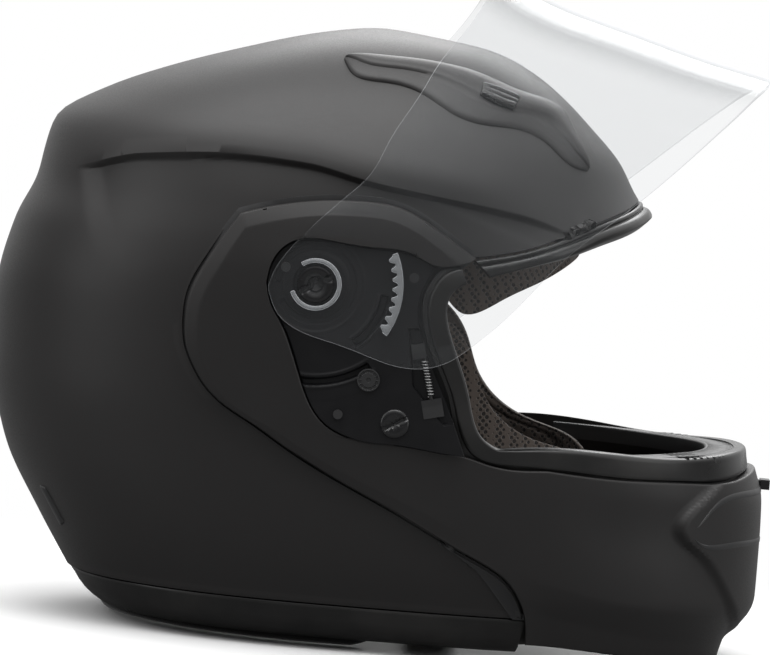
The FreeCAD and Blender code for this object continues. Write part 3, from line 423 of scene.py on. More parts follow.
SHELL_SKIN = Skin(SHELL, 2.35, 273.7)
CHIN_SKIN = Skin(CHIN, 2.3, OPEN_TOP)
CAVITY_SKIN = Skin(CAVITY, 2.35, 245.6)
TRIM_SKIN = Skin(TRIM, 2.35, OPEN_TOP)
SHIELD = Shield()


def between(lines, shares):
    """Rows running straight from each (angle, height) line to the next, at the given shares."""
    rows = []
    for low, high, part in zip(lines, lines[1:], shares):
        part = np.asarray(part)[:, None, None]
        rows.append(low[None] * (1.0 - part) + high[None] * part)
    grid = np.concatenate(rows)
    return grid[..., 0], grid[..., 1]


def outward(grid):
    """Unit normals of a grid of points on the wearer's right, pointing away from the head."""
    across = np.gradient(grid, axis=0)
    along = np.gradient(grid, axis=1)
    normal = np.cross(across, along)
    normal /= np.maximum(np.linalg.norm(normal, axis=-1), 1e-9)[..., None]
    away = grid - HEAD_MIDDLE
    return normal * np.sign(np.sum(normal * away, axis=-1) + 1e-12)[..., None]


def mirrored(grid):
    """The grid on the other side of the middle plane, y turned to -y."""
    return grid * np.array([1.0, -1.0, 1.0])


def both_sides(grid):
    """Left and right halves as one grid, joined at the right half's first column."""
    return np.concatenate([mirrored(grid)[:, :0:-1], grid], axis=1)


def turned(points, degrees, centre):
    """Points turned about a cross axis; a positive angle raises the front."""
    c = math.cos(math.radians(degrees))
    s = math.sin(math.radians(degrees))
    out = np.array(points, float)
    x = out[..., 0] - centre[0]
    z = out[..., -1] - centre[1]
    out[..., 0] = centre[0] + x * c - z * s
    out[..., -1] = centre[1] + x * s + z * c
    return out


# ---------------------------------------------------------------- making a piece

def piece(name, grids, body, coat, slot, stands_for=(), wall=0.0, edge=0.0, sharp=38.0,
          fill=None):
    """Joins grids of points, each (grid, rows close, columns close), in one welded mesh whose
    faces point outwards, gives it a wall and rounded edges, and ties it to its body."""
    points = []
    faces = []
    start = 0
    for grid, rows_close, columns_close in grids:
        rows, columns = grid.shape[:2]
        index = start + np.arange(rows * columns).reshape(rows, columns)
        if rows_close:
            index = np.vstack([index, index[:1]])
        if columns_close:
            index = np.hstack([index, index[:, :1]])
        quads = np.stack([index[:-1, :-1], index[1:, :-1], index[1:, 1:], index[:-1, 1:]], axis=-1)
        faces.append(quads.reshape(-1, 4))
        points.append(grid.reshape(-1, 3))
        start += rows * columns
    mesh = bpy.data.meshes.new(name)
    mesh.from_pydata(np.concatenate(points) * MM, [], np.concatenate(faces).tolist())
    work = bmesh.new()
    work.from_mesh(mesh)
    bmesh.ops.remove_doubles(work, verts=work.verts, dist=2e-5)
    bmesh.ops.dissolve_degenerate(work, dist=1e-6, edges=work.edges)
    bmesh.ops.recalc_face_normals(work, faces=work.faces)
    if any(line.is_boundary for line in work.edges):
        middle = HEAD_MIDDLE * MM
        lean = sum(face.calc_area()
                   * float(np.dot(face.normal, np.array(face.calc_center_median()) - middle))
                   for face in work.faces)
        if lean < 0.0:
            bmesh.ops.reverse_faces(work, faces=work.faces)
    work.to_mesh(mesh)
    work.free()
    return finished(name, mesh, body, coat, slot, stands_for, wall, edge, sharp, fill)


def finished(name, mesh, body, coat, slot, stands_for, wall, edge, sharp, fill):
    """Modifiers applied, shading set, material given, and the piece tied to its body."""
    thing = bpy.data.objects.new(name, mesh)
    bpy.context.scene.collection.objects.link(thing)
    if wall:
        solidify = thing.modifiers.new("wall", "SOLIDIFY")
        solidify.thickness = wall * MM
        solidify.offset = -1.0
    if edge:
        bevel = thing.modifiers.new("edge", "BEVEL")
        bevel.width = edge * MM
        bevel.segments = 3
        bevel.limit_method = "ANGLE"
        bevel.angle_limit = math.radians(50.0)
        bevel.use_clamp_overlap = True
    if thing.modifiers:
        depsgraph = bpy.context.evaluated_depsgraph_get()
        ready = bpy.data.meshes.new_from_object(thing.evaluated_get(depsgraph))
        thing.modifiers.clear()
        thing.data = ready
        bpy.data.meshes.remove(mesh)
        ready.name = name
    thing.data.shade_smooth()
    thing.data.set_sharp_from_angle(angle=math.radians(sharp))
    thing.data.materials.clear()
    thing.data.materials.append(coat)
    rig.ride(thing, body)
    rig.slot(thing, slot)
    if stands_for:
        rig.replaces(thing, *stands_for)
    if fill is not None:
        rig.padded(thing, fill=fill)
    return thing


def walled(outer, inner, radius):
    """One closed loop of rows: the outer grid, a rim with a rounded corner, and the inner grid."""
    def corner(edge, next_row, far):
        along = next_row - edge
        along /= np.maximum(np.linalg.norm(along, axis=-1), 1e-6)[..., None]
        down = far - edge
        down /= np.maximum(np.linalg.norm(down, axis=-1), 1e-6)[..., None]
        turns = np.radians([8.0, 26.0, 45.0, 64.0, 82.0])
        return [edge + radius * ((1 - math.sin(t)) * along + (1 - math.cos(t)) * down) for t in turns]

    first = corner(outer[0], outer[1], inner[0])
    last = corner(outer[-1], outer[-2], inner[-1])
    rows = [outer[1:-1], np.array(last), inner[::-1], np.array(first[::-1])]
    return np.concatenate(rows)


def capped(grid):
    """The grid closed at both ends: a column more at each, drawn to the middle of the end column."""
    first, last = [column.mean(axis=0, keepdims=True).repeat(len(grid), axis=0)
                   for column in (grid[:, :1], grid[:, -1:])]
    return np.concatenate([first, grid, last], axis=1)


def lathe(profile, centre, side, count):
    """Profile of (radius, distance from the middle plane) turned about a cross axis."""
    turn = np.linspace(0.0, 2.0 * math.pi, count, endpoint=False)
    radius = np.array([p[0] for p in profile])[:, None]
    reach = np.array([p[1] for p in profile])[:, None]
    x = centre[0] + radius * np.cos(turn)
    z = centre[1] + radius * np.sin(turn)
    return np.stack([x, np.broadcast_to(side * reach, x.shape), z], axis=-1)


def tube(path, radius, count):
    """Round wire of a radius along a path; each ring stands square to the path."""
    way = heading(path)
    side = np.cross(way, np.array([0.21, 0.93, 0.31]))
    side /= np.linalg.norm(side, axis=1)[:, None]
    up = np.cross(way, side)
    turn = np.linspace(0.0, 2.0 * math.pi, count, endpoint=False)
    ring = side[:, None] * np.cos(turn)[None, :, None] + up[:, None] * np.sin(turn)[None, :, None]
    first, last = [point[None].repeat(count, axis=1) for point in (path[:1], path[-1:])]
    return np.concatenate([first, path[:, None] + ring * radius, last])


# ---------------------------------------------------------------- finishes

def remapped(tree, value, low, high, to_low=0.0, to_high=1.0, way="SMOOTHSTEP"):
    """A node value run from one range to another, eased at both ends or in a straight line."""
    node = tree.nodes.new("ShaderNodeMapRange")
    node.interpolation_type = way
    for key, number in (("From Min", low), ("From Max", high), ("To Min", to_low), ("To Max", to_high)):
        node.inputs[key].default_value = number
    tree.links.new(value, node.inputs["Value"])
    return node.outputs["Result"]


class Finish:
    """Node tree of one finish: a principled shader, patterns on the piece's own coordinates."""

    def __init__(self, name):
        self.material = bpy.data.materials.new(name)
        self.material.use_nodes = True
        self.nodes = self.material.node_tree.nodes
        self.links = self.material.node_tree.links
        self.shader = self.nodes["Principled BSDF"]
        self.place = self.nodes.new("ShaderNodeTexCoord").outputs["Object"]
        self.height = None

    def set(self, **values):
        """Shader sockets set by name, with _ for each space."""
        for key, value in values.items():
            self.shader.inputs[key.replace("_", " ")].default_value = value
        return self

    def noise(self, scale, detail=4.0, roughness=0.55):
        """Cloudy pattern; scale is in features to a metre."""
        node = self.nodes.new("ShaderNodeTexNoise")
        node.inputs["Scale"].default_value = scale
        node.inputs["Detail"].default_value = detail
        node.inputs["Roughness"].default_value = roughness
        self.links.new(self.place, node.inputs["Vector"])
        return node.outputs["Fac"]

    def cells(self, scale, randomness=1.0, turn=(0.0, 0.0, 0.0)):
        """Distance to the nearest cell middle, on a turned grid."""
        mapping = self.nodes.new("ShaderNodeMapping")
        mapping.inputs["Rotation"].default_value = turn
        self.links.new(self.place, mapping.inputs["Vector"])
        node = self.nodes.new("ShaderNodeTexVoronoi")
        node.inputs["Scale"].default_value = scale
        node.inputs["Randomness"].default_value = randomness
        self.links.new(mapping.outputs["Vector"], node.inputs["Vector"])
        return node.outputs["Distance"]

    def stripes(self, scale, direction):
        """Slightly wavy sine bands along an axis."""
        node = self.nodes.new("ShaderNodeTexWave")
        node.bands_direction = direction
        node.inputs["Scale"].default_value = scale
        node.inputs["Distortion"].default_value = 0.6
        node.inputs["Detail Scale"].default_value = 2.0
        self.links.new(self.place, node.inputs["Vector"])
        return node.outputs["Fac"]

    def mapped(self, value, low, high, to_low=0.0, to_high=1.0):
        """The value's S curve from one range to another."""
        return remapped(self.material.node_tree, value, low, high, to_low, to_high)

    def sum(self, a, b, operation="ADD"):
        """Two values, or a value and a number, added or multiplied."""
        node = self.nodes.new("ShaderNodeMath")
        node.operation = operation
        self.links.new(a, node.inputs[0])
        if isinstance(b, float):
            node.inputs[1].default_value = b
        else:
            self.links.new(b, node.inputs[1])
        return node.outputs["Value"]

    def wear(self):
        """Bare share along sharp outer edges."""
        point = self.nodes.new("ShaderNodeNewGeometry").outputs["Pointiness"]
        return self.mapped(point, 0.515, 0.56)

    def colour(self, factor, first, second, third=None):
        """Base colour running between tones with a factor."""
        ramp = self.nodes.new("ShaderNodeValToRGB")
        ramp.color_ramp.elements[0].color = (*first, 1.0)
        ramp.color_ramp.elements[1].color = (*(third or second), 1.0)
        if third:
            ramp.color_ramp.elements.new(0.5).color = (*second, 1.0)
        self.links.new(factor, ramp.inputs["Fac"])
        self.links.new(ramp.outputs["Color"], self.shader.inputs["Base Color"])
        return self

    def rough(self, factor, low, high):
        """Roughness between two values, following a factor."""
        self.links.new(self.mapped(factor, 0.25, 0.75, low, high), self.shader.inputs["Roughness"])
        return self

    def bump(self, height, distance, strength=1.0):
        """Relief of a depth in millimetres, laid over any relief set before."""
        node = self.nodes.new("ShaderNodeBump")
        node.inputs["Distance"].default_value = distance * MM
        node.inputs["Strength"].default_value = strength
        self.links.new(height, node.inputs["Height"])
        if self.height is not None:
            self.links.new(self.height, node.inputs["Normal"])
        self.height = node.outputs["Normal"]
        self.links.new(self.height, self.shader.inputs["Normal"])
        return self

    def facing(self, low, high, to_low, to_high):
        """Value that runs from square on to grazing view."""
        node = self.nodes.new("ShaderNodeLayerWeight")
        node.inputs["Blend"].default_value = 0.4
        return self.mapped(node.outputs["Facing"], low, high, to_low, to_high)

    def edge_light(self, strength):
        """Painted highlight: white emission at the rims, rising towards grazing view, though the sheet is no lamp."""
        self.links.new(self.facing(0.45, 0.9, 0.0, strength), self.shader.inputs["Emission Strength"])
        self.shader.inputs["Emission Color"].default_value = (0.95, 0.97, 1.0, 1.0)

    def see_through(self, tint, face_on, edge_on):
        """Clear sheet: tinted and open when looked at square on, a bright surface at its edges."""
        window = self.nodes.new("ShaderNodeBsdfTransparent")
        window.inputs["Color"].default_value = (*tint, 1.0)
        mix = self.nodes.new("ShaderNodeMixShader")
        self.links.new(self.facing(0.35, 1.0, face_on, edge_on), mix.inputs["Fac"])
        self.links.new(window.outputs["BSDF"], mix.inputs[1])
        self.links.new(self.shader.outputs["BSDF"], mix.inputs[2])
        self.links.new(mix.outputs["Shader"], self.nodes["Material Output"].inputs["Surface"])
        return self


FINISHES = {}


def finish(name):
    """The named finish, made once."""
    if name not in FINISHES:
        FINISHES[name] = globals()["finish_" + name](bpy.context.scene.helmet_colours).material
    return FINISHES[name]


def finish_satin_paint(colours):
    """Matt black lacquer: very fine orange peel, faint mottling, lighter rubbed edges."""
    coat = Finish("satin_paint")
    dark = tuple(colours.paint)
    light = tuple(1.35 * c + 0.002 for c in dark)
    fine = coat.noise(1500.0, 3.0, 0.6)
    slow = coat.noise(22.0, 3.0, 0.5)
    tone = coat.sum(coat.sum(slow, 0.75, "MULTIPLY"), coat.sum(fine, 0.25, "MULTIPLY"))
    coat.colour(coat.mapped(coat.sum(tone, coat.sum(coat.wear(), 0.5, "MULTIPLY")), 0.3, 1.1), dark, light)
    coat.rough(fine, 0.40, 0.52)
    coat.bump(fine, 0.03, 0.35)
    return coat.set(Specular_IOR_Level=0.5)


def finish_moulded_black(colours):
    """Grained black plastic."""
    coat = Finish("moulded_black")
    grain = coat.cells(1300.0)
    slow = coat.noise(40.0)
    coat.colour(coat.sum(slow, coat.sum(coat.wear(), 0.6, "MULTIPLY")),
                (0.012, 0.012, 0.013), (0.03, 0.03, 0.031))
    coat.rough(slow, 0.36, 0.5)
    return coat.bump(grain, 0.035, 0.5)


def finish_deep_black(colours):
    """Fine-grained, very dark plastic of the base plates."""
    coat = Finish("deep_black")
    grain = coat.cells(1500.0)
    slow = coat.noise(50.0)
    coat.colour(slow, (0.004, 0.004, 0.005), (0.010, 0.010, 0.011))
    coat.rough(slow, 0.4, 0.55)
    coat.bump(grain, 0.02, 0.4)
    return coat.set(Specular_IOR_Level=0.28)


def finish_gloss_black(colours):
    """Smooth, lightly scuffed black moulding."""
    coat = Finish("gloss_black")
    slow = coat.noise(60.0)
    scuffs = coat.noise(420.0, 6.0, 0.7)
    coat.colour(slow, (0.008, 0.008, 0.009), (0.016, 0.016, 0.017))
    coat.rough(scuffs, 0.14, 0.3)
    return coat.bump(scuffs, 0.012, 0.4)


def finish_soft_rubber(colours):
    """Glossy black rubber with a faint moulding ripple and dusty patches."""
    coat = Finish("soft_rubber")
    ripple = coat.noise(240.0, 3.0)
    dust = coat.noise(30.0, 5.0)
    coat.colour(coat.mapped(dust, 0.35, 0.8), (0.010, 0.010, 0.010), (0.028, 0.027, 0.026))
    coat.rough(dust, 0.26, 0.42)
    return coat.bump(ripple, 0.05, 0.35)


def finish_mesh_fabric(colours):
    """Open knitted mesh: staggered holes in a brown-grey yarn over a dark backing."""
    coat = Finish("mesh_fabric")
    holes = coat.cells(430.0, 0.12, (0.0, math.radians(45.0), 0.0))
    ribs = coat.stripes(700.0, "Z")
    slow = coat.noise(45.0)
    yarn = tuple(colours.fabric)
    hole = coat.mapped(holes, 0.33, 0.46)
    tone = coat.sum(coat.sum(hole, 0.8, "MULTIPLY"), coat.sum(slow, 0.2, "MULTIPLY"))
    coat.colour(tone, (0.006, 0.005, 0.005), tuple(0.7 * c for c in yarn), yarn)
    coat.bump(hole, 0.45, 0.9)
    coat.bump(ribs, 0.08, 0.4)
    return coat.set(Roughness=0.9, Sheen_Weight=0.35, Sheen_Roughness=0.5)


def finish_felt(colours):
    """Brushed black knit of the neck roll."""
    coat = Finish("felt")
    knit = coat.cells(900.0, 0.5)
    slow = coat.noise(60.0, 5.0)
    coat.colour(coat.sum(knit, slow, "MULTIPLY"), (0.008, 0.008, 0.009), (0.035, 0.034, 0.033))
    coat.bump(knit, 0.2, 0.7)
    return coat.set(Roughness=0.95, Sheen_Weight=0.4, Sheen_Roughness=0.45)


def finish_bead_foam(colours):
    """Moulded bead foam: pressed beads with fine seams."""
    coat = Finish("bead_foam")
    beads = coat.cells(330.0)
    coat.colour(coat.mapped(beads, 0.1, 0.7), (0.03, 0.03, 0.032), (0.012, 0.012, 0.013))
    coat.bump(beads, 0.25, 0.6)
    return coat.set(Roughness=0.8)


def finish_clear_shield(colours):
    """Clear polycarbonate with a trace of haze and wiping marks, and a painted highlight glowing at its rims."""
    coat = Finish("clear_shield")
    haze = coat.noise(14.0, 5.0, 0.6)
    # painted highlight: white emission along the rims at grazing view
    coat.edge_light(0.42)
    coat.colour(haze, (0.24, 0.25, 0.26), (0.32, 0.33, 0.34))
    coat.rough(haze, 0.04, 0.1)
    return coat.see_through((0.985, 0.988, 0.99), 0.05, 0.8)


def finish_bright_rim(colours):
    """Clear plastic of the pivot ring and the click rack, with a painted highlight glowing along its rounded edges."""
    coat = Finish("bright_rim")
    grain = coat.noise(700.0, 3.0)
    # painted highlight: white emission along the rounded edges
    coat.edge_light(0.8)
    coat.colour(grain, (0.62, 0.64, 0.66), (0.82, 0.84, 0.86))
    coat.rough(grain, 0.15, 0.3)
    return coat.see_through((0.85, 0.87, 0.88), 0.26, 0.95)


def finish_smoked_shield(colours):
    """Smoke-grey polycarbonate."""
    coat = Finish("smoked_shield")
    haze = coat.noise(20.0, 4.0)
    coat.colour(haze, (0.02, 0.02, 0.021), (0.045, 0.045, 0.047))
    coat.rough(haze, 0.04, 0.1)
    return coat.see_through((0.2, 0.2, 0.21), 0.35, 0.9)


def finish_plated_steel(colours):
    """Zinc-plated steel with fine turning marks and a dull patch here and there."""
    coat = Finish("plated_steel")
    marks = coat.noise(900.0, 3.0)
    slow = coat.noise(70.0, 4.0)
    coat.colour(slow, (0.34, 0.34, 0.35), (0.62, 0.62, 0.61))
    coat.rough(slow, 0.22, 0.42)
    coat.bump(marks, 0.015, 0.5)
    return coat.set(Metallic=1.0)


def finish_strap_weave(colours):
    """Black polyester webbing: tight rows across fine warp ribs."""
    coat = Finish("strap_weave")
    warp = coat.stripes(300.0, "X")
    weft = coat.stripes(420.0, "Y")
    weave = coat.sum(warp, weft, "MULTIPLY")
    coat.colour(weave, (0.006, 0.006, 0.007), (0.04, 0.04, 0.042))
    coat.bump(weave, 0.22, 0.8)
    return coat.set(Roughness=0.75, Sheen_Weight=0.2)


def finish_pale_floor(colours):
    """Plain white sweep: white to the eye and in reflections, with the helmet's soft shadow."""
    coat = Finish("pale_floor")
    coat.set(Base_Color=(0.9, 0.9, 0.9, 1.0), Roughness=0.9, Specular_IOR_Level=0.0)
    return coat


# ---------------------------------------------------------------- sizes and colours

class HelmetSizes(bpy.types.PropertyGroup):
    """Sizes a user may change; lengths are in millimetres."""
    shell_wall: FloatProperty(name="Shell wall", description="Thickness of the outer shell",
                              default=3.0, min=1.5, max=4.0)
    chin_wall: FloatProperty(name="Chin bar wall", description="Thickness of the chin bar in front",
                             default=3.9, min=2.0, max=5.0)
    edge_round: FloatProperty(name="Edge rounding", description="Radius along painted edges",
                              default=0.8, min=0.2, max=1.5)
    seam_gap: FloatProperty(name="Seam gap", description="Gap round the chin bar's arms",
                            default=1.0, min=0.4, max=2.0)
    ridge_step: FloatProperty(name="Ridge step", description="Height of the step along the side ridge",
                              default=3.2, min=0.0, max=5.0)
    arm_bevel: FloatProperty(name="Arm bevel", description="Depth of the bevel along the arm's upper edge",
                             default=1.6, min=0.0, max=3.0)
    pad_fill: FloatProperty(name="Pad fill", description="How tightly the pads are stuffed",
                            default=0.7, min=0.0, max=1.0, subtype="FACTOR")
    rows: IntProperty(name="Mesh rows", description="Rows between two main lines of the shell",
                      default=34, min=16, max=120)


class HelmetColours(bpy.types.PropertyGroup):
    """Colours a user may change."""
    paint: FloatVectorProperty(name="Paint", description="Matt lacquer of shell and chin bar",
                               default=(0.013, 0.012, 0.012), subtype="COLOR", min=0.0, max=1.0)
    fabric: FloatVectorProperty(name="Lining", description="Mesh fabric of the comfort pads",
                                default=(0.115, 0.092, 0.078), subtype="COLOR", min=0.0, max=1.0)


# ---------------------------------------------------------------- painted skins

def shell_relief(grid, sizes):
    """Side relief, moved along the normal in millimetres: the sides step in below the ridge line,
    come back out over the next 50 mm down, and fold out again behind the rear fold line."""
    x = grid[..., 0]
    z = grid[..., 2]
    ridge = np.array(RIDGE)
    fold = np.array(REAR_FOLD)
    below = monotone(ridge[:, 0], ridge[:, 1], x) - z
    behind = x - monotone(fold[::-1, 1], fold[::-1, 0], z)
    depth = eased(0.0, 2.0, below) * (1.0 - eased(2.0, 55.0, below)) * eased(-2.0, 9.0, behind)
    depth *= 1.0 - eased(52.0, 82.0, x)
    soft = 0.8 * np.exp(-((below + 7.0) / 9.0) ** 2) * (1.0 - eased(40.0, 80.0, x)) * eased(-150.0, -120.0, x)
    return -sizes.ridge_step * depth + soft


def shell_grids(sizes):
    """Crown down to the brow edge and the arm's outline, then down behind the arm to the neck seam."""
    gap = sizes.seam_gap
    front = chain((BROW_TOP, 60))
    arm = aside(chain((ARM_TOP, 70), (ARM_REAR, 40)), -gap)
    low = aside(chain((ARM_LOW, 110)), -gap)
    corner = np.array([[36.0, 179.3]])
    brow = SHELL_SKIN.line(np.concatenate([front[:-1] + (0.0, 0.6), corner]), 72)
    side = SHELL_SKIN.line(np.concatenate([corner, arm[1:]]), 92)
    rear_turn = np.linspace(side[-1, 0], math.pi, 68)
    rear = np.stack([rear_turn, np.full(68, side[-1, 1])], axis=1)
    foot = np.concatenate([brow, side[1:], rear[1:]])
    foot_reach = np.sqrt(SHELL_SKIN.top - foot[:, 1])
    even = np.linspace(0.0, math.pi, len(foot))
    middle = 0.6 * foot[:, 0] + 0.4 * even
    place = SHELL_SKIN.place(middle, np.full(len(foot), 207.0))
    ridge = np.array(RIDGE)
    kernel = np.hanning(25) / np.hanning(25).sum()
    over_foot = np.convolve(np.pad(foot[:, 1], 12, mode="edge"), kernel, mode="valid")
    ridge_z = np.maximum(monotone(ridge[:, 0], ridge[:, 1], place[:, 0]), np.minimum(over_foot + 3.0, 214.0))
    ridge_z = np.maximum(ridge_z, foot[:, 1] + 1.5)
    crown = np.stack([even, np.zeros(len(foot))], axis=1)
    bend = np.stack([middle, np.sqrt(SHELL_SKIN.top - ridge_z)], axis=1)
    edge = np.stack([foot[:, 0], foot_reach], axis=1)
    upper = np.linspace(0.0, 1.0, sizes.rows)[:-1]
    lower = np.linspace(0.0, 1.0, sizes.rows + 8) ** 1.25
    turn, reach = between([crown, bend, edge], [upper, lower])
    dome = SHELL_SKIN.place(turn, SHELL_SKIN.top - reach ** 2)
    heights = np.linspace(side[-1, 1], 21.0, 62)
    cut = low[np.argsort(low[:, 1])]
    edge_x = np.interp(heights, cut[:, 1], cut[:, 0])
    edge_x[0] = arm[-1, 0]
    start = SHELL_SKIN.angle(edge_x, heights)
    share = (rear_turn - rear_turn[0]) / (math.pi - rear_turn[0])
    turn = start[:, None] + (math.pi - start[:, None]) * share[None]
    back = SHELL_SKIN.place(turn, np.broadcast_to(heights[:, None], turn.shape))
    relieved = []
    for grid in (dome, back):
        relieved.append(grid + outward(grid) * shell_relief(grid, sizes)[..., None])
    relieved[1][0] = relieved[0][-1, len(foot) - len(rear):]
    for grid in relieved:
        grid[:, -1, 1] = 0.0
    relieved[0][:, 0, 1] = 0.0
    relieved[0][0] = relieved[0][0].mean(axis=0)
    return relieved


class HELMET_OT_outer_shell(bpy.types.Operator):
    """Outer shell: painted skin, the lands under the base plates, and dark strips set in behind the lower arm seams as
    painted shade in the gap
    """
    bl_idname = "helmet.outer_shell"
    bl_label = "Outer shell"

    def execute(self, context):
        sizes = context.scene.helmet_sizes
        halves = shell_grids(sizes)
        halves += [mirrored(grid) for grid in halves]
        grids = [(grid, False, False) for grid in halves]
        piece("painted_shell", grids, "helmet", finish("satin_paint"), "shell_paint", ("outer_shell",),
              wall=sizes.shell_wall, edge=sizes.edge_round)
        gap = sizes.seam_gap + 0.8
        upper = aside(chain((ARM_TOP, 60), (ARM_REAR, 30), (ARM_LOW, 100)), -gap)
        upper[:, 1] = np.maximum(upper[:, 1], 21.0)
        beside_eye = BROW_TOP[-1:] + [(27.5, 168.0), (25.8, 152.0), (30.0, 138.0), (36.5, 118.0),
                                      (38.5, 100.0)]
        front = chain((beside_eye, 90), ([(38.5, 100.0), (38.5, 78.0), (24.0, 66.5)], 50),
                      ([(24.0, 66.5), (41.0, 50.0), (66.0, 21.0)], 50))
        front = spread(front, len(upper))
        steps = np.linspace(0.0, 1.0, 26)[:, None, None]
        flat = upper[None] * (1 - steps) + front[None] * steps
        reach = np.minimum(LAND_REACH, SHELL_SKIN.depth(flat[..., 0], flat[..., 1]) - 1.2)
        land = np.stack([flat[..., 0], -reach, flat[..., 1]], axis=-1)
        for side, sign in SIDES:
            piece("pivot_land_" + side, [(land * (1.0, -sign, 1.0), False, False)], "helmet",
                  finish("moulded_black"), "black_plastic", wall=2.0, edge=0.4)
        # painted shade: dark strips set 4.3 mm in behind the lower arm seam, so the gap shows dark
        seam = chain((ARM_LOW[-8:], 90))
        across = np.linspace(-4.0, 6.0, 9)
        flat = np.array([aside(seam, gap) for gap in across])
        lip = SHELL_SKIN.place(SHELL_SKIN.angle(flat[..., 0], flat[..., 1]), flat[..., 1])
        lip -= outward(lip) * 4.3
        for side, sign in SIDES:
            piece("seam_shade_strip_" + side, [(lip * (1.0, -sign, 1.0), False, False)], "helmet",
                  finish("soft_rubber"), "gasket_rubber", wall=1.2, edge=0.3)
        return {"FINISHED"}


def chin_relief(grid, lower_edge, sizes):
    """Relief of the chin bar: a raised muzzle in front of its fold line, the skirt tucked in
    below the lower crease, and a bevel along the upper and rear edge of the arms."""
    x = grid[..., 0]
    z = grid[..., 2]
    fold_x = monotone([20.0, 29.9, 49.4, 65.2, 85.1, 92.0], [168.0, 163.6, 151.4, 136.8, 152.4, 158.0], z)
    raised = 2.7 * eased(-1.4, 1.4, x - fold_x)
    crease_z = monotone([60.0, 71.0, 125.9, 162.7, 176.0], [42.0, 39.1, 28.4, 24.8, 24.0], x)
    tuck = -0.13 * np.clip(crease_z - z, 0.0, 14.0) * eased(60.0, 84.0, x)
    hollow = -1.3 * np.exp(-((z - 62.0) / 16.0) ** 2) * eased(78.0, 110.0, x)
    hollow *= 1.0 - eased(-3.0, 0.0, x - fold_x)
    near = np.linalg.norm(grid - lower_edge[None], axis=-1)
    arm = 1.0 - eased(20.0, 48.0, lower_edge[None, :, 0]) * (lower_edge[None, :, 2] < 170.0)
    high = eased(120.0, 160.0, lower_edge[None, :, 2])
    bevel = -sizes.arm_bevel * np.clip(1.0 - near / 7.0, 0.0, 1.0) * arm * (0.45 + 0.55 * high)
    return raised + tuck + hollow + bevel


class HELMET_OT_chin_bar(bpy.types.Operator):
    """Chin bar: muzzle and both arms as one walled skin, open round the visor's base plates"""
    bl_idname = "helmet.chin_bar"
    bl_label = "Chin bar"

    def execute(self, context):
        sizes = context.scene.helmet_sizes
        arm_low = ARM_LOW[::-1]
        outer = [(CHIN_EDGE[::-1], 150), (arm_low[:9], 60), (arm_low[8:], 50), (ARM_REAR[::-1], 36),
                 (ARM_TOP[::-1], 62)]
        inner = [(RIM_LOW[:5], 150), (RIM_LOW[4:] + BAY_LOW[:2], 60), (BAY_LOW[1:8], 50), (BAY_LOW[7:12], 36),
                 (BAY_LOW[11:] + BAY_TOP[1:] + [(34.0, 177.2)], 62)]
        outer = [CHIN_SKIN.line(flowing(points, 400), count) for points, count in outer]
        inner = [CHIN_SKIN.line(flowing(points, 400), count) for points, count in inner]
        low = np.concatenate([outer[0]] + [line[1:] for line in outer[1:]])
        high = np.concatenate([inner[0]] + [line[1:] for line in inner[1:]])
        low[0, 0] = high[0, 0] = 0.0
        share = np.linspace(0.0, 1.0, 58)
        turn, z = between([low, high], [share])
        skin = CHIN_SKIN.place(turn, z)
        normal = outward(skin)
        outside = skin + normal * chin_relief(skin, skin[0], sizes)[..., None]
        inside = skin - normal * sizes.chin_wall
        bend = 1.0 - eased(60.0, 96.0, skin[..., 0])
        inside[..., 1] = inside[..., 1] * (1.0 - bend) - ARM_LINING * bend
        inside[..., 0] = inside[..., 0] * (1.0 - bend) + outside[..., 0] * bend
        inside[..., 2] = inside[..., 2] * (1.0 - bend) + outside[..., 2] * bend
        inside[..., 1] = np.maximum(inside[..., 1], outside[..., 1] + 1.0)
        for grid in (outside, inside):
            grid[:, 0, 1] = 0.0
        loop = walled(outside, inside, sizes.edge_round + 0.2)
        full = both_sides(loop)
        piece("painted_chin_bar", [(capped(full), True, False)], "chin_bar",
              finish("satin_paint"), "shell_paint", ("chin_bar",))
        return {"FINISHED"}


# ---------------------------------------------------------------- visor

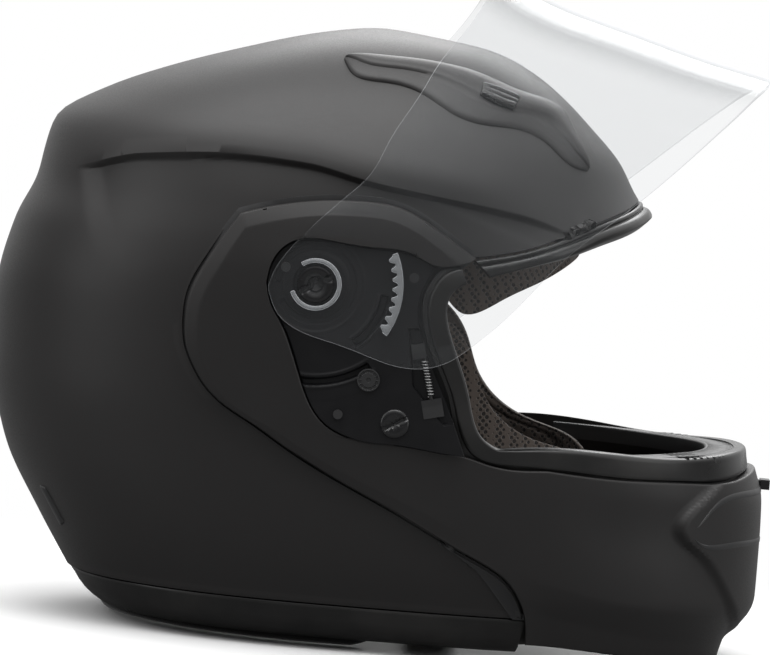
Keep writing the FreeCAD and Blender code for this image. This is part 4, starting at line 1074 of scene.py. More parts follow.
class HELMET_OT_visor(bpy.types.Operator):
    """Clear visor: one walled sheet with a folded step over the arms, its pivot rings and click racks"""
    bl_idname = "helmet.visor"
    bl_label = "Visor"

    def execute(self, context):
        lower = turned(chain((VISOR_LOWER, 260)), -VISOR_RAISED, PIVOT)
        upper = turned(chain((VISOR_UPPER, 260)), -VISOR_RAISED, PIVOT)
        low_front = np.array([[SHIELD.sizes(np.array(90.3)) + 1.0, 90.3]])
        top_front = np.array([[SHIELD.sizes(np.array(208.0)) + 0.5, 208.0]])
        lower = flowing(np.concatenate([lower[:-6:12], lower[-1:], low_front]), 500)
        upper = flowing(np.concatenate([upper[:-6:12], upper[-1:], top_front]), 500)
        low = SHIELD.line(lower, 230)[::-1]
        high = SHIELD.line(upper, 230)[::-1]
        low[0, 0] = high[0, 0] = 0.0
        share = 0.5 - 0.5 * np.cos(np.linspace(0.0, math.pi, 56))
        share = 0.7 * np.linspace(0.0, 1.0, 56) + 0.3 * share
        turn, z = between([low, high], [share])
        skin = SHIELD.place(turn, z)
        raised = turned(skin, VISOR_RAISED, PIVOT)
        a, b = np.array(VISOR_FOLD)
        way = (b - a) / np.linalg.norm(b - a)
        across = (raised[..., 0] - a[0]) * way[1] - (raised[..., 2] - a[1]) * way[0]
        normal = outward(skin)
        step = 0.9 * eased(-0.9, 0.9, across)
        skin = skin - normal * (0.95 - step)[..., None]
        inside = skin - normal * VISOR_WALL
        for grid in (skin, inside):
            grid[:, 0, 1] = 0.0
        loop = turned(walled(skin, inside, 0.7), VISOR_RAISED, PIVOT)
        full = both_sides(loop)
        piece("clear_visor", [(capped(full), True, False)], "visor",
              finish("clear_shield"), "clear_visor", ("visor",), sharp=50.0)
        face = VISOR_SIDE + VISOR_WALL - 0.2
        for side, sign in SIDES:
            turns = np.radians(np.linspace(-159.0, 128.0, 80))
            path = np.stack([PIVOT[0] + 10.4 * np.cos(turns), np.full(80, sign * (face + 0.1)),
                             PIVOT[1] + 10.4 * np.sin(turns)], axis=1)
            piece("pivot_ring_" + side, [(tube(path, 0.95, 14), False, True)], "visor",
                  finish("bright_rim"), "clear_visor")
            turns = np.radians(np.linspace(26.0, -31.0, 132))
            wave = 34.6 + 1.1 * np.clip(1.3 * np.cos(np.linspace(0.0, 2.0 * math.pi * 8.0, 132)), -1.0, 1.0)
            ring = np.stack([np.cos(turns), np.sin(turns)], axis=1)
            outer_rim = PIVOT + 38.2 * ring
            inner_rim = PIVOT + wave[:, None] * ring
            rows = [(inner_rim, face - 0.6), (inner_rim, face + 0.3), (inner_rim + 0.2 * ring, face + 0.6),
                    (inner_rim + 0.7 * ring, face + 0.8), (outer_rim - 0.7 * ring, face + 0.8),
                    (outer_rim - 0.2 * ring, face + 0.6), (outer_rim, face + 0.3), (outer_rim, face - 0.6)]
            rack = np.array([np.stack([line[:, 0], np.full(132, sign * reach), line[:, 1]], axis=1)
                             for line, reach in rows])
            piece("click_rack_" + side, [(capped(rack), True, False)], "visor", finish("bright_rim"),
                  "clear_visor")
        return {"FINISHED"}


# ---------------------------------------------------------------- gaskets and trim

def lipped(skin, lines, profile, count, inset):
    """Band between two lines on a skin with a rounded profile of (share, lift) laid across it."""
    low, high = [skin.line(line, count) for line in lines]
    low[0, 0] = high[0, 0] = 0.0
    share = np.array([p[0] for p in profile])
    lift = np.array([p[1] for p in profile])
    turn, z = between([low, high], [share])
    grid = skin.place(turn, z)
    normal = outward(grid)
    top = grid + normal * (lift[:, None] - inset)[..., None]
    under = grid - normal * (inset + 3.6)
    for rows in (top, under):
        rows[:, 0, 1] = 0.0
    full = both_sides(np.concatenate([top, under[::-1]]))
    return [(capped(full), True, False)]


def bead(first, last, height, count=9):
    """Half-round bead from one share to another: lift = height * sin."""
    turns = np.linspace(0.0, math.pi, count)
    share = first + (last - first) * (0.5 - 0.5 * np.cos(turns))
    return [(s, height * math.sin(t)) for s, t in zip(share, turns)]


class HELMET_OT_gaskets(bpy.types.Operator):
    """Eyeport gasket with the slotted ledge inside it, and the brow gasket under the shell's edge"""
    bl_idname = "helmet.gaskets"
    bl_label = "Gaskets"

    def execute(self, context):
        outer = [(RIM_LOW, 130), (RIM_LOW[-1:] + GASKET_BACK[:-1] + [(30.0, 174.2)], 120)]
        inner = [(EYE_LOW + [(54.0, 95.6)], 130), ([(54.0, 95.6)] + EYE_BACK[1:-1] + [(33.0, 167.0)], 120)]
        outer = flowing(chain(*outer)[::4], 420)
        inner = flowing(chain(*inner)[::4], 420)
        self.deflector()
        outer = aside(outer, 1.8)
        profile = [(0.0, -1.6), (0.17, -1.2), (0.2, 0.5), (0.24, 1.0), (0.32, 1.3), (0.6, 1.5), (0.8, 1.75),
                   (0.88, 1.7), (0.94, 1.2), (0.98, 0.2), (1.0, -2.2)]
        piece("eyeport_seal", lipped(CHIN_SKIN, (outer, inner), profile, 240, 1.6), "chin_bar",
              finish("soft_rubber"), "gasket_rubber", ("eyeport_gasket",), sharp=60.0)
        outer = chain((BROW_TOP, 200)) - (0.0, 0.6)
        inner = chain((BROW_LOW, 200))
        profile = [(0.0, -1.0)] + bead(0.02, 0.3, 1.2) + bead(0.34, 0.98, 1.9, 11) + [(1.0, -2.0)]
        piece("brow_seal", lipped(SHELL_SKIN, (outer, inner), profile, 170, 0.6), "helmet",
              finish("soft_rubber"), "gasket_rubber", ("brow_gasket",), sharp=60.0)
        return {"FINISHED"}

    def deflector(self):
        """Breath deflector: a ledge inside the chin rim, widest in front, with a row of slots."""
        count = 560
        turn = np.linspace(0.0, 1.02, count)
        narrow = eased(0.45, 1.02, turn)
        depth = 14.5 - 8.5 * narrow
        height = np.interp(turn, [0.0, 1.02], [98.2, 95.4])
        slot = (np.abs((turn * 30.0) % 1.0 - 0.5) < 0.27) * (turn < 0.62)
        rows = []
        profile = [(0.0, -7.0, 0), (0.0, -1.0, 0), (0.05, -0.2, 0), (0.12, 0.0, 0), (0.3, 0.1, 0),
                   (0.32, 0.1, 1), (0.86, 0.0, 1), (0.88, 0.0, 0), (0.94, -0.1, 0), (0.98, -0.5, 0),
                   (1.0, -1.2, 0), (1.0, -7.0, 0)]
        for share, rise, dent in profile:
            z = height + rise - 2.6 * dent * slot
            line = CHIN_SKIN.place(turn, z)
            way = heading(line)
            inward = np.stack([way[:, 1], -way[:, 0], 0.0 * turn], axis=1)
            inward *= np.sign(np.sum(inward * (np.array([60.0, 0.0, 95.0]) - line), axis=1))[:, None]
            rows.append(line + inward * (4.4 + share * depth)[:, None])
        grid = np.array(rows)
        grid[:, 0, 1] = 0.0
        full = both_sides(grid)
        piece("slotted_ledge", [(capped(full), True, False)], "chin_bar",
              finish("moulded_black"), "black_plastic", ("breath_deflector",), sharp=30.0)


class HELMET_OT_neck(bpy.types.Operator):
    """Neck trim round the shell's lower edge, and the padded neck roll it stands on"""
    bl_idname = "helmet.neck"
    bl_label = "Neck trim and roll"

    def execute(self, context):
        count = 170
        start = float(TRIM_SKIN.angle(np.array(71.0), np.array(14.0)))
        turn = np.linspace(start, math.pi, count)
        profile = [(-0.6, 20.2), (-0.1, 19.6), (0.0, 18.6), (-0.1, 17.2), (0.25, 14.0), (0.35, 11.0),
                   (0.1, 8.4), (-0.8, 6.4), (-2.2, 5.2), (-3.8, 4.9), (-5.2, 5.5), (-6.0, 7.2),
                   (-6.2, 12.0), (-6.0, 24.5), (-4.3, 24.5), (-4.1, 20.4)]
        rows = []
        for out, z in profile:
            line = TRIM_SKIN.place(turn, np.full(count, z))
            way = heading(line)
            rows.append(line + out * np.stack([-way[:, 1], way[:, 0], 0.0 * way[:, 0]], axis=1))
        grid = np.array(rows)
        grid[:, -1, 1] = 0.0
        full = np.concatenate([grid, mirrored(grid)[:, -2::-1]], axis=1)
        piece("edge_trim", [(capped(full), True, False)], "helmet",
              finish("soft_rubber"), "trim_rubber", ("neck_trim",), sharp=60.0)
        low, high = box("neck_roll")
        count = 150
        half_in, half_out = 68.0, high[1] - 2.6
        start = math.acos((high[0] - 6.0 + 22.0) / 88.0)
        turn = np.linspace(start, math.pi, count)
        loops = np.linspace(0.0, 2.0 * math.pi, 26, endpoint=False)
        puff = 1.0 + 0.025 * np.cos(turn * 26.0) * np.exp(-(np.cos(loops)[:, None] - 0.2) ** 2)
        wide = 0.5 * (half_out - half_in) * puff
        tall = 13.2
        ball = np.sign(np.cos(loops)) * np.abs(np.cos(loops)) ** 0.75
        rise = np.sign(np.sin(loops)) * np.abs(np.sin(loops)) ** 0.8
        tight = np.minimum(1.0, np.sqrt(np.clip((turn - start) / 0.12, 0.0, 1.0)) * 0.8 + 0.2)
        reach = 0.5 * (half_in + half_out) + wide * ball[:, None] * tight
        stretch = 1.0 + 0.14 * eased(1.2, 3.1, turn)
        x = -22.0 + (reach + 5.0) * stretch * np.cos(turn)
        y = -reach * np.sin(turn) ** 0.93
        y = np.where(turn > math.pi - 1e-6, 0.0, y)
        z = 14.0 + tall * rise[:, None] * (0.6 + 0.4 * tight)
        lift = 4.6 * eased(30.0, 90.0, np.abs(x + 22.0))
        z = np.maximum(z, 0.15 + lift * 0.35 * (z < 6.0))
        grid = np.stack([x, y, z], axis=-1)
        full = np.concatenate([grid, mirrored(grid)[:, -2::-1]], axis=1)
        piece("neck_cushion", [(capped(full), True, False)], "helmet",
              finish("felt"), "pad_fabric", ("neck_roll",), sharp=80.0,
              fill=context.scene.helmet_sizes.pad_fill)
        return {"FINISHED"}


# ---------------------------------------------------------------- pads

class HELMET_OT_pads(bpy.types.Operator):
    """Comfort pads: cheek pads, brow pad and crown pad, crowned between their piped edges"""
    bl_idname = "helmet.pads"
    bl_label = "Comfort pads"

    def execute(self, context):
        fill = context.scene.helmet_sizes.pad_fill
        outline = flowing(CHEEK + CHEEK[:1], 150)[:-1]
        outline = 0.25 * (np.roll(outline, 1, axis=0) + np.roll(outline, -1, axis=0)) + 0.5 * outline
        middle = np.array([32.0, 88.0])
        share = np.sin(np.linspace(0.0, 0.5 * math.pi, 30))
        flat = middle + (outline[None] - middle) * (0.985 * share)[:, None, None]
        x = flat[..., 0]
        z = flat[..., 1]
        back = np.minimum(CAVITY_SKIN.depth(x, z), 85.0) - 1.4
        crown = np.sqrt(np.clip(1.0 - share ** 5, 0.0, 1.0))[:, None]
        front_y = 62.0 + 5.0 * eased(40.0, 120.0, z) + 5.0 * eased(110.0, 155.0, z)
        seam = 1.6 * np.exp(-((share[:, None] - 0.82) / 0.03) ** 2)
        thick = np.maximum(back - front_y, 6.0)
        face = back - thick * (0.25 + 0.75 * crown) + seam
        piping = 0.9 * np.exp(-((share[:, None] - 0.975) / 0.02) ** 2)
        inner = np.stack([x, -(face - piping), z], axis=-1)
        outer = np.stack([x, -(back - 0.6 * (share[:, None] > 0.99)), z], axis=-1)
        for side, sign in SIDES:
            flip = np.array([1.0, -sign, 1.0])
            piece("cheek_cushion_" + side, [(np.concatenate([inner, outer[::-1]]) * flip, False, True)],
                  "helmet", finish("mesh_fabric"), "pad_fabric", ("cheek_pad_" + side,), sharp=70.0, fill=fill)
        self.band("brow_cushion", "forehead_pad",
                  [(22.0, 190.0), (60.0, 209.0), (86.0, 204.0)],
                  [(26.0, 158.0), (32.8, 152.4), (50.5, 159.3), (68.0, 168.6), (80.0, 176.0),
                   (86.5, 180.5)], fill)
        self.cap(fill)
        return {"FINISHED"}

    def band(self, name, node, upper, lower, fill):
        """Pad between two side-view lines on the cavity, swelling 8 mm inwards between its edges."""
        low = CAVITY_SKIN.line(flowing(lower[::-1], 300), 90)
        high = CAVITY_SKIN.line(flowing(upper[::-1], 300), 90)
        low[0, 0] = high[0, 0] = 0.0
        share = 0.5 - 0.5 * np.cos(np.linspace(0.0, math.pi, 30))
        turn, z = between([low, high], [share])
        grid = CAVITY_SKIN.place(turn, z)
        normal = outward(grid)
        puff = (1.0 - np.abs(2.0 * share - 1.0) ** 3)[:, None] ** 0.6
        ends = np.linspace(1.0, 0.0, 90)[None]
        puff = puff * np.clip(1.0 - (1.0 - ends) ** 10, 0.0, 1.0) ** 0.5
        inside = grid - normal * (0.9 + 7.0 * puff)[..., None]
        outside = grid - normal * 0.5
        for rows in (inside, outside):
            rows[:, 0, 1] = 0.0
        loop = both_sides(np.concatenate([inside, outside[::-1]]))
        piece(name, [(capped(loop), True, False)], "helmet",
              finish("mesh_fabric"), "pad_fabric", (node,), sharp=70.0, fill=fill)

    def cap(self, fill):
        """Crown pad: the cavity from its top down to the pad's hem, with sewn channels across it."""
        hem = [(86.0, 210.5), (59.6, 216.5), (24.0, 199.0), (14.0, 174.0), (-40.0, 162.0),
               (-96.0, 120.0), (-135.0, 114.0)]
        line = CAVITY_SKIN.line(flowing(hem, 400), 150)
        line[0, 0] = 0.0
        line[-1, 0] = math.pi
        foot = np.sqrt(CAVITY_SKIN.top - line[:, 1])
        share = np.sin(np.linspace(0.0, 0.5 * math.pi, 60))
        reach = share[:, None] * foot[None]
        turn = np.broadcast_to(line[:, 0], reach.shape)
        grid = CAVITY_SKIN.place(turn, CAVITY_SKIN.top - reach ** 2)
        normal = outward(grid)
        normal[0] = (0.0, 0.0, 1.0)
        puff = np.sqrt(np.clip(1.0 - share ** 14, 0.0, 1.0))[:, None]
        channel = np.abs(np.sin(grid[..., 0] / 19.0)) ** 0.3
        inside = grid - normal * (0.9 + 5.8 * puff * (0.72 + 0.28 * channel))[..., None]
        outside = grid - normal * 0.5
        half = np.concatenate([inside, outside[::-1]])
        half[:, 0, 1] = 0.0
        half[:, -1, 1] = 0.0
        half[0] = half[0].mean(axis=0)
        half[-1] = half[-1].mean(axis=0)
        full = np.concatenate([half, mirrored(half)[:, -2:0:-1]], axis=1)
        piece("crown_cushion", [(full, False, True)], "helmet", finish("mesh_fabric"), "pad_fabric",
              ("crown_pad",), sharp=70.0, fill=fill)


# ---------------------------------------------------------------- vents

def housing(name, skin, lines, profile, body, coat, slot, node, count=90, sides=(1.0,), under=0.3):
    """Raised moulding between two lines on a skin, (share, lift) across, closed at both ends."""
    low, high = [skin.line(line, count) for line in lines]
    share = np.array([p[0] for p in profile])
    turn, z = between([low, high], [share])
    grid = skin.place(turn, z)
    normal = outward(grid)
    run = np.linspace(0.0, 1.0, count)
    rounding = np.sqrt(np.clip(1.0 - (2.0 * run - 1.0) ** 16, 0.0, 1.0))
    lift = np.array([p[1] for p in profile])[:, None] * rounding[None]
    top = grid + normal * np.maximum(lift, 0.05)[..., None]
    base = grid - normal * under
    loop = np.concatenate([top, base[::-1]])
    loop = capped(loop)
    grids = [(loop * np.array([1.0, sign, 1.0]), True, False) for sign in sides]
    return piece(name, grids, body, coat, slot, node, sharp=40.0)


class HELMET_OT_vents(bpy.types.Operator):
    """Top vents with their sliders, rear slits, and the chin vent with its slider"""
    bl_idname = "helmet.vents"
    bl_label = "Vents"

    def execute(self, context):
        upper = chain((TOP_VENT_UP, 200))
        lower = chain((TOP_VENT_LOW, 200))
        profile = [(0.0, 0.05), (0.02, 0.7), (0.06, 1.3), (0.12, 1.7), (0.3, 2.2), (0.42, 2.4),
                   (0.45, 3.2), (0.5, 3.7), (0.6, 3.9), (0.75, 3.6), (0.88, 2.7), (0.95, 1.6),
                   (0.985, 0.8), (1.0, 0.05)]
        for side, sign in SIDES:
            housing("scoop_" + side, SHELL_SKIN, (lower, upper), profile, "helmet", finish("satin_paint"),
                    "shell_paint", ("top_vent_" + side,), sides=(-sign,))
            low = chain(([(31.0, 246.6), (38.0, 243.6), (47.0, 241.2)], 60))
            high = chain(([(31.5, 251.6), (40.0, 249.8), (49.5, 246.6)], 60))
            slide = [(0.0, 3.2), (0.04, 4.4), (0.12, 5.0), (0.3, 5.0), (0.36, 4.5), (0.42, 5.0),
                     (0.58, 5.0), (0.64, 4.5), (0.7, 5.0), (0.88, 5.0), (0.96, 4.4), (1.0, 3.2)]
            housing("scoop_slider_" + side, SHELL_SKIN, (low, high), slide, "top_slider_" + side,
                    finish("gloss_black"), "black_plastic", ("top_vent_slider_" + side,),
                    sides=(-sign,), under=-2.6)
        slit_low = chain(([(-148.0, 58.0), (-136.8, 40.6)], 60))
        slit_high = chain(([(-145.2, 57.4), (-135.4, 42.6)], 60))
        arch = [(0.0, 0.05), (0.1, 0.7), (0.3, 1.0), (0.7, 1.0), (0.9, 0.7), (1.0, 0.05)]
        housing("rear_slits", SHELL_SKIN, (slit_low, slit_high), arch, "helmet", finish("moulded_black"),
                "black_plastic", ("rear_vent_slits",), sides=(1.0, -1.0))
        self.chin_vent()
        return {"FINISHED"}

    def chin_vent(self):
        """Chin vent cover: a wrapped plate with a raised rim, slots below its slider."""
        count = 150
        edge = flowing([(141.0, 63.5), (146.5, 71.5), (153.0, 80.0), (160.0, 82.4), (172.5, 82.6)], 300)
        foot = flowing([(141.0, 63.0), (146.0, 57.0), (152.0, 54.8), (160.0, 55.0), (174.9, 55.0)], 300)
        low = CHIN_SKIN.line(foot, count)[::-1]
        high = CHIN_SKIN.line(edge, count)[::-1]
        low[0, 0] = high[0, 0] = 0.0
        profile = [(0.0, 1.0), (0.03, 2.2), (0.07, 2.9), (0.13, 3.0), (0.17, 2.5), (0.2, 1.9),
                   (0.8, 1.9), (0.83, 2.5), (0.87, 3.0), (0.93, 2.9), (0.97, 2.2), (1.0, 1.0)]
        rows = profile[:6] + [(share, 1.9) for share in np.linspace(0.21, 0.79, 40)] + profile[6:]
        share = np.array([p[0] for p in rows])
        lift = np.array([p[1] for p in rows])[:, None]
        turn, z = between([low, high], [share])
        grid = CHIN_SKIN.place(turn, z)
        normal = outward(grid)
        y = np.abs(grid[..., 1])
        slot = eased(0.0, 0.5, 0.9 - np.abs((z - 57.0) % 4.2 - 2.1)) * (y < 24.0) * (share[:, None] > 0.24)
        slot *= share[:, None] < 0.74
        ends = 1.0 - eased(0.93, 1.0, np.linspace(0.0, 1.0, count))[None]
        top = grid + normal * (lift * (0.35 + 0.65 * ends) - 1.1 * slot)[..., None]
        base = grid - normal * 0.2
        for layer in (top, base):
            layer[:, 0, 1] = 0.0
        loop = both_sides(np.concatenate([top, base[::-1]]))
        piece("chin_vent_cover", [(capped(loop), True, False)], "chin_bar",
              finish("moulded_black"), "black_plastic", ("chin_vent_frame",))


# ---------------------------------------------------------------- side mechanism

class HELMET_OT_side_plates(bpy.types.Operator):
    """Visor base plates: pivot boss, curved tracks, lock bed, ribs and mouldings in relief"""
    bl_idname = "helmet.side_plates"
    bl_label = "Base plates"

    def execute(self, context):
        outline = chain((BAY_LOW, 260), (BAY_TOP, 90), (BAY_FRONT, 120))[:-1]
        outline = spread(np.concatenate([outline, outline[:1]]), 421)[:-1]
        middle = np.array([-18.0, 138.0])
        away = outline - middle
        outline = middle + away * (1.0 - 0.55 / np.linalg.norm(away, axis=1))[:, None]
        share = np.concatenate([np.linspace(0.0, 0.985, 118), [0.992, 0.997, 1.0]])
        flat = middle + (outline[None] - middle) * share[:, None, None]
        lift = self.relief(flat[..., 0], flat[..., 1])
        rim = np.linalg.norm(outline - middle, axis=1)[None] * (1.0 - share[:, None])
        inset = np.clip(rim / 0.6, 0.0, 1.0)
        lift = lift - 0.6 * (1.0 - np.sqrt(np.clip(1.0 - (1.0 - inset) ** 2, 0.0, 1.0)))
        floor = 3.3
        for side, sign in SIDES:
            top = np.stack([flat[..., 0], sign * (PLATE_TOP + lift), flat[..., 1]], axis=-1)
            bottom = np.full(lift.shape, sign * (PLATE_TOP - floor))
            base = np.stack([flat[..., 0], bottom, flat[..., 1]], axis=-1)
            keep = base[[-1, 60, 0]]
            piece("base_plate_" + side, [(np.concatenate([top, keep]), False, True)], "chin_bar",
                  finish("deep_black"), "black_plastic", ("visor_plate_" + side,), sharp=32.0)
            self.fittings(side, sign)
        return {"FINISHED"}

    def relief(self, x, z):
        """Height over the plate's top, never above it where the visor sweeps: tracks about the
        pivot, a sunk bed for the lock, ribs, and rings round the pivot."""
        dx = x - PIVOT[0]
        dz = z - PIVOT[1]
        r = np.hypot(dx, dz)
        angle = np.degrees(np.arctan2(dz, dx))

        def track(radius, width, first, last, depth):
            inside = eased(-0.2, 0.5, 0.5 * width - np.abs(r - radius))
            begun = eased(first - 0.6, first + 0.6, angle)
            return -depth * inside * begun * (1.0 - eased(last - 0.6, last + 0.6, angle))

        lift = -0.5 * np.ones_like(x)
        lift += track(30.7, 3.5, -52.0, -5.0, 2.2)
        lift += track(42.5, 3.0, -94.0, -52.0, 2.2)
        for radius, first, last in ((30.7, -53.0, -4.0), (42.5, -95.5, -50.5)):
            rim = np.exp(-((np.abs(r - radius) - 2.7) / 0.55) ** 2)
            lift += 0.45 * rim * eased(first - 1, first + 1, angle) * (1.0 - eased(last - 1, last + 1, angle))
        lift += 0.5 * (eased(9.4, 9.9, r) - eased(13.6, 14.2, r))
        lift += -0.6 * (eased(14.6, 15.2, r) - eased(17.4, 18.0, r)) * (angle > -150.0)
        lift += 0.45 * np.exp(-((r - 21.0) / 0.6) ** 2)
        bed = np.array([(3.5, 145.0), (19.6, 146.5), (26.4, 128.0), (33.6, 106.5), (18.6, 103.2), (15.0, 112.0),
                        (13.6, 121.0), (4.5, 131.0)])
        distance = np.full(x.shape, 1e3)
        for a, b in zip(bed, np.roll(bed, -1, axis=0)):
            way = (b - a) / np.linalg.norm(b - a)
            distance = np.minimum(distance, (z - a[1]) * -way[0] + (x - a[0]) * way[1])
        sunk = eased(-0.3, 0.3, distance)
        lift = np.where(distance > -0.6, lift * (1.0 - sunk) - 2.7 * sunk, lift)
        dome = 1.0 - eased(50.5, 51.5, r)
        return np.minimum(lift + 0.12 * dome, 0.0)

    def fittings(self, side, sign):
        """Hub with its coin slot, slotted cover, dial with ticks and the coil spring."""
        root = PLATE_TOP - 2.6
        profile = [(0.0, HUB_FACE - 2.2), (3.0, HUB_FACE - 2.2), (3.6, HUB_FACE - 0.9),
                   (4.8, HUB_FACE - 0.5), (5.6, HUB_FACE - 0.15), (7.2, HUB_FACE),
                   (7.8, HUB_FACE - 0.25), (8.1, HUB_FACE - 0.8), (8.1, root), (0.0, root)]
        hub = lathe(profile, PIVOT, sign, 72)
        x = hub[..., 0] - PIVOT[0]
        z = hub[..., 2] - PIVOT[1]
        lean = math.radians(28.0)
        across = np.abs(-x * math.sin(lean) + z * math.cos(lean))
        slot = (1.0 - eased(1.1, 1.5, across)) * (np.abs(hub[..., 1]) > HUB_FACE - 2.4)
        hub[..., 1] -= sign * 1.1 * slot
        piece("hub_" + side, [(hub, False, True)], body_of("visor_hubs"), finish("gloss_black"),
              "black_plastic", ("visor_hubs",), sharp=30.0)
        low, high = box("slotted_covers")
        centre = 0.5 * (low + high)[[0, 2]]
        base = PLATE_TOP - 0.9
        top = high[1] + 0.1
        profile = [(0.0, top - 0.5), (1.2, top - 0.45), (2.4, top - 0.2), (4.2, top), (5.4, top - 0.1),
                   (6.1, top - 0.5), (6.4, top - 1.0), (6.4, base), (0.0, base)]
        cover = lathe(profile, centre, sign, 72)
        lean = 0.5
        bar = np.abs((cover[..., 2] - centre[1]) * math.cos(lean)
                     - (cover[..., 0] - centre[0]) * math.sin(lean))
        slot = (1.0 - eased(0.75, 1.1, bar)) * (np.abs(cover[..., 1]) > base + 0.2)
        cover[..., 1] -= sign * 0.7 * slot
        piece("coin_cover_" + side, [(cover, False, True)], "chin_bar", finish("gloss_black"), "black_plastic",
              ("slotted_covers",), sharp=30.0)
        low, high = box("moulded_dials")
        centre = 0.5 * (low + high)[[0, 2]]
        top = high[1]
        profile = [(0.0, top - 0.35), (0.9, top - 0.35), (1.1, top - 0.1), (3.1, top - 0.1),
                   (3.4, top - 0.4), (4.2, top - 0.4), (4.5, top), (4.9, top - 0.1),
                   (5.0, top - 0.4), (5.0, base), (0.0, base)]
        dial = lathe(profile, centre, sign, 96)
        turn = np.arctan2(dial[..., 2] - centre[1], dial[..., 0] - centre[0])
        radius = np.hypot(dial[..., 2] - centre[1], dial[..., 0] - centre[0])
        tick = (np.cos(turn * 12.0) > 0.8) * (radius > 3.2) * (radius < 4.3)
        dial[..., 1] += sign * 0.28 * tick
        piece("dial_" + side, [(dial, False, True)], "chin_bar", finish("moulded_black"), "black_plastic",
              ("moulded_dials",), sharp=28.0)
        low, high = box("visor_lock_spring_" + side)
        ends = np.array([[high[0] - 1.5, low[2] + 1.0], [low[0] + 1.5, high[2] - 1.0]])
        way = ends[1] - ends[0]
        length = np.linalg.norm(way)
        way /= length
        coils = 12.0
        coil_radius = 1.25
        turns = np.linspace(0.0, 2.0 * math.pi * coils, 360)
        run = np.linspace(0.0, length, 360)[:, None]
        middle_y = 0.5 * (low[1] + high[1])
        side_way = np.array([-way[1], way[0]])
        line = ends[0] + way * run + side_way * (coil_radius * np.cos(turns))[:, None]
        coil = np.stack([line[:, 0], middle_y + coil_radius * np.sin(turns), line[:, 1]], axis=1)
        piece("lock_coil_" + side, [(tube(coil, 0.33, 8), False, True)], body_of("visor_lock_spring_" + side),
              finish("plated_steel"), "steel", ("visor_lock_spring_" + side,), sharp=70.0)


def body_of(node):
    """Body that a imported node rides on."""
    for body, members in frame["record"]["behaviour"]["bodies"].items():
        if node in members:
            return body
    raise ValueError("no body holds " + node)


class HELMET_OT_straps(bpy.types.Operator):
    """Chin strap: two webbing ends, stitched along both edges"""
    bl_idname = "helmet.straps"
    bl_label = "Chin strap"

    def execute(self, context):
        for side, sign in SIDES:
            low, high = box("chin_strap_" + side)
            top = max(abs(low[1]), abs(high[1]))
            tip = min(abs(low[1]), abs(high[1]))
            path = flowing([(top - 0.9, high[2] - 0.4), (top - 5.4, 17.5), (66.0, 12.2), (48.0, 9.6),
                            (30.0, 8.7), (tip, 8.9)], 120)
            way = heading(path)
            square = np.stack([-way[:, 1], way[:, 0]], axis=1)
            width = np.linspace(low[0] + 0.3, high[0] - 0.3, 24)
            across = width - width.mean()
            curl = 0.35 * np.cos(across / 11.0 * math.pi * 0.5)
            rows_of_thread = np.exp(-((np.abs(across) - 8.6) / 0.7) ** 2)
            stitch = 0.1 * np.cos(np.arange(120) * 1.3)[:, None] * rows_of_thread
            rows = []
            for face in (1.0, -1.0):
                lift = face * 0.75 + curl[None] + (stitch if face > 0 else 0.0)
                y = path[:, None, 0] + square[:, None, 0] * lift
                z = path[:, None, 1] + square[:, None, 1] * lift
                rows.append(np.stack([np.broadcast_to(width, y.shape), sign * y, z], axis=-1))
            loop = np.concatenate([rows[0], rows[1][:, ::-1]], axis=1)
            first = loop[:1].mean(axis=1, keepdims=True).repeat(loop.shape[1], axis=1)
            last = loop[-1:].mean(axis=1, keepdims=True).repeat(loop.shape[1], axis=1)
            piece("strap_" + side, [(np.concatenate([first, loop, last]), False, True)], "helmet",
                  finish("strap_weave"), "webbing", ("chin_strap_" + side,), sharp=60.0)
        return {"FINISHED"}


NODE_FINISHES = {
    "bead_foam": ("impact_liner", "chin_liner"),
    "smoked_shield": ("sun_shade",),
    "moulded_black": ("visor_lock_right", "visor_lock_left", "release_button", "plate_screws"),
    "gloss_black": ("chin_vent_slider",),
    "plated_steel": ("pivot_bolts", "pivot_nuts", "latch_strikers", "strap_rivets"),
}


class HELMET_OT_frame_finishes(bpy.types.Operator):
    """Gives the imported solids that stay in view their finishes"""
    bl_idname = "helmet.frame_finishes"
    bl_label = "Frame finishes"

    def execute(self, context):
        for name, nodes in NODE_FINISHES.items():
            for node in nodes:
                mesh = frame["nodes"][node].data
                mesh.materials.clear()
                mesh.materials.append(finish(name))
        return {"FINISHED"}


# ---------------------------------------------------------------- stage

def seen_white(material):
    """White to the camera away from the helmet and through glass; a darker floor in bounces."""
    nodes = material.node_tree.nodes
    links = material.node_tree.links
    path = nodes.new("ShaderNodeLightPath")
    away = nodes.new("ShaderNodeVectorMath")
    away.operation = "LENGTH"
    links.new(nodes.new("ShaderNodeTexCoord").outputs["Object"], away.inputs[0])
    share = nodes.new("ShaderNodeMath")
    share.operation = "MULTIPLY"
    links.new(path.outputs["Is Camera Ray"], share.inputs[0])
    far = remapped(material.node_tree, away.outputs["Value"], 0.22, 0.42)
    links.new(far, share.inputs[1])
    tone = remapped(material.node_tree, path.outputs["Is Camera Ray"], 0.0, 1.0, 0.2, 0.9, "LINEAR")
    links.new(tone, nodes["Principled BSDF"].inputs["Base Color"])
    glow = nodes.new("ShaderNodeEmission")
    glow.inputs["Color"].default_value = (1.0, 1.0, 1.0, 1.0)
    mix = nodes.new("ShaderNodeMixShader")
    links.new(share.outputs["Value"], mix.inputs["Fac"])
    links.new(nodes["Principled BSDF"].outputs["BSDF"], mix.inputs[1])
    links.new(glow.outputs["Emission"], mix.inputs[2])
    links.new(mix.outputs["Shader"], nodes["Material Output"].inputs["Surface"])
    return material


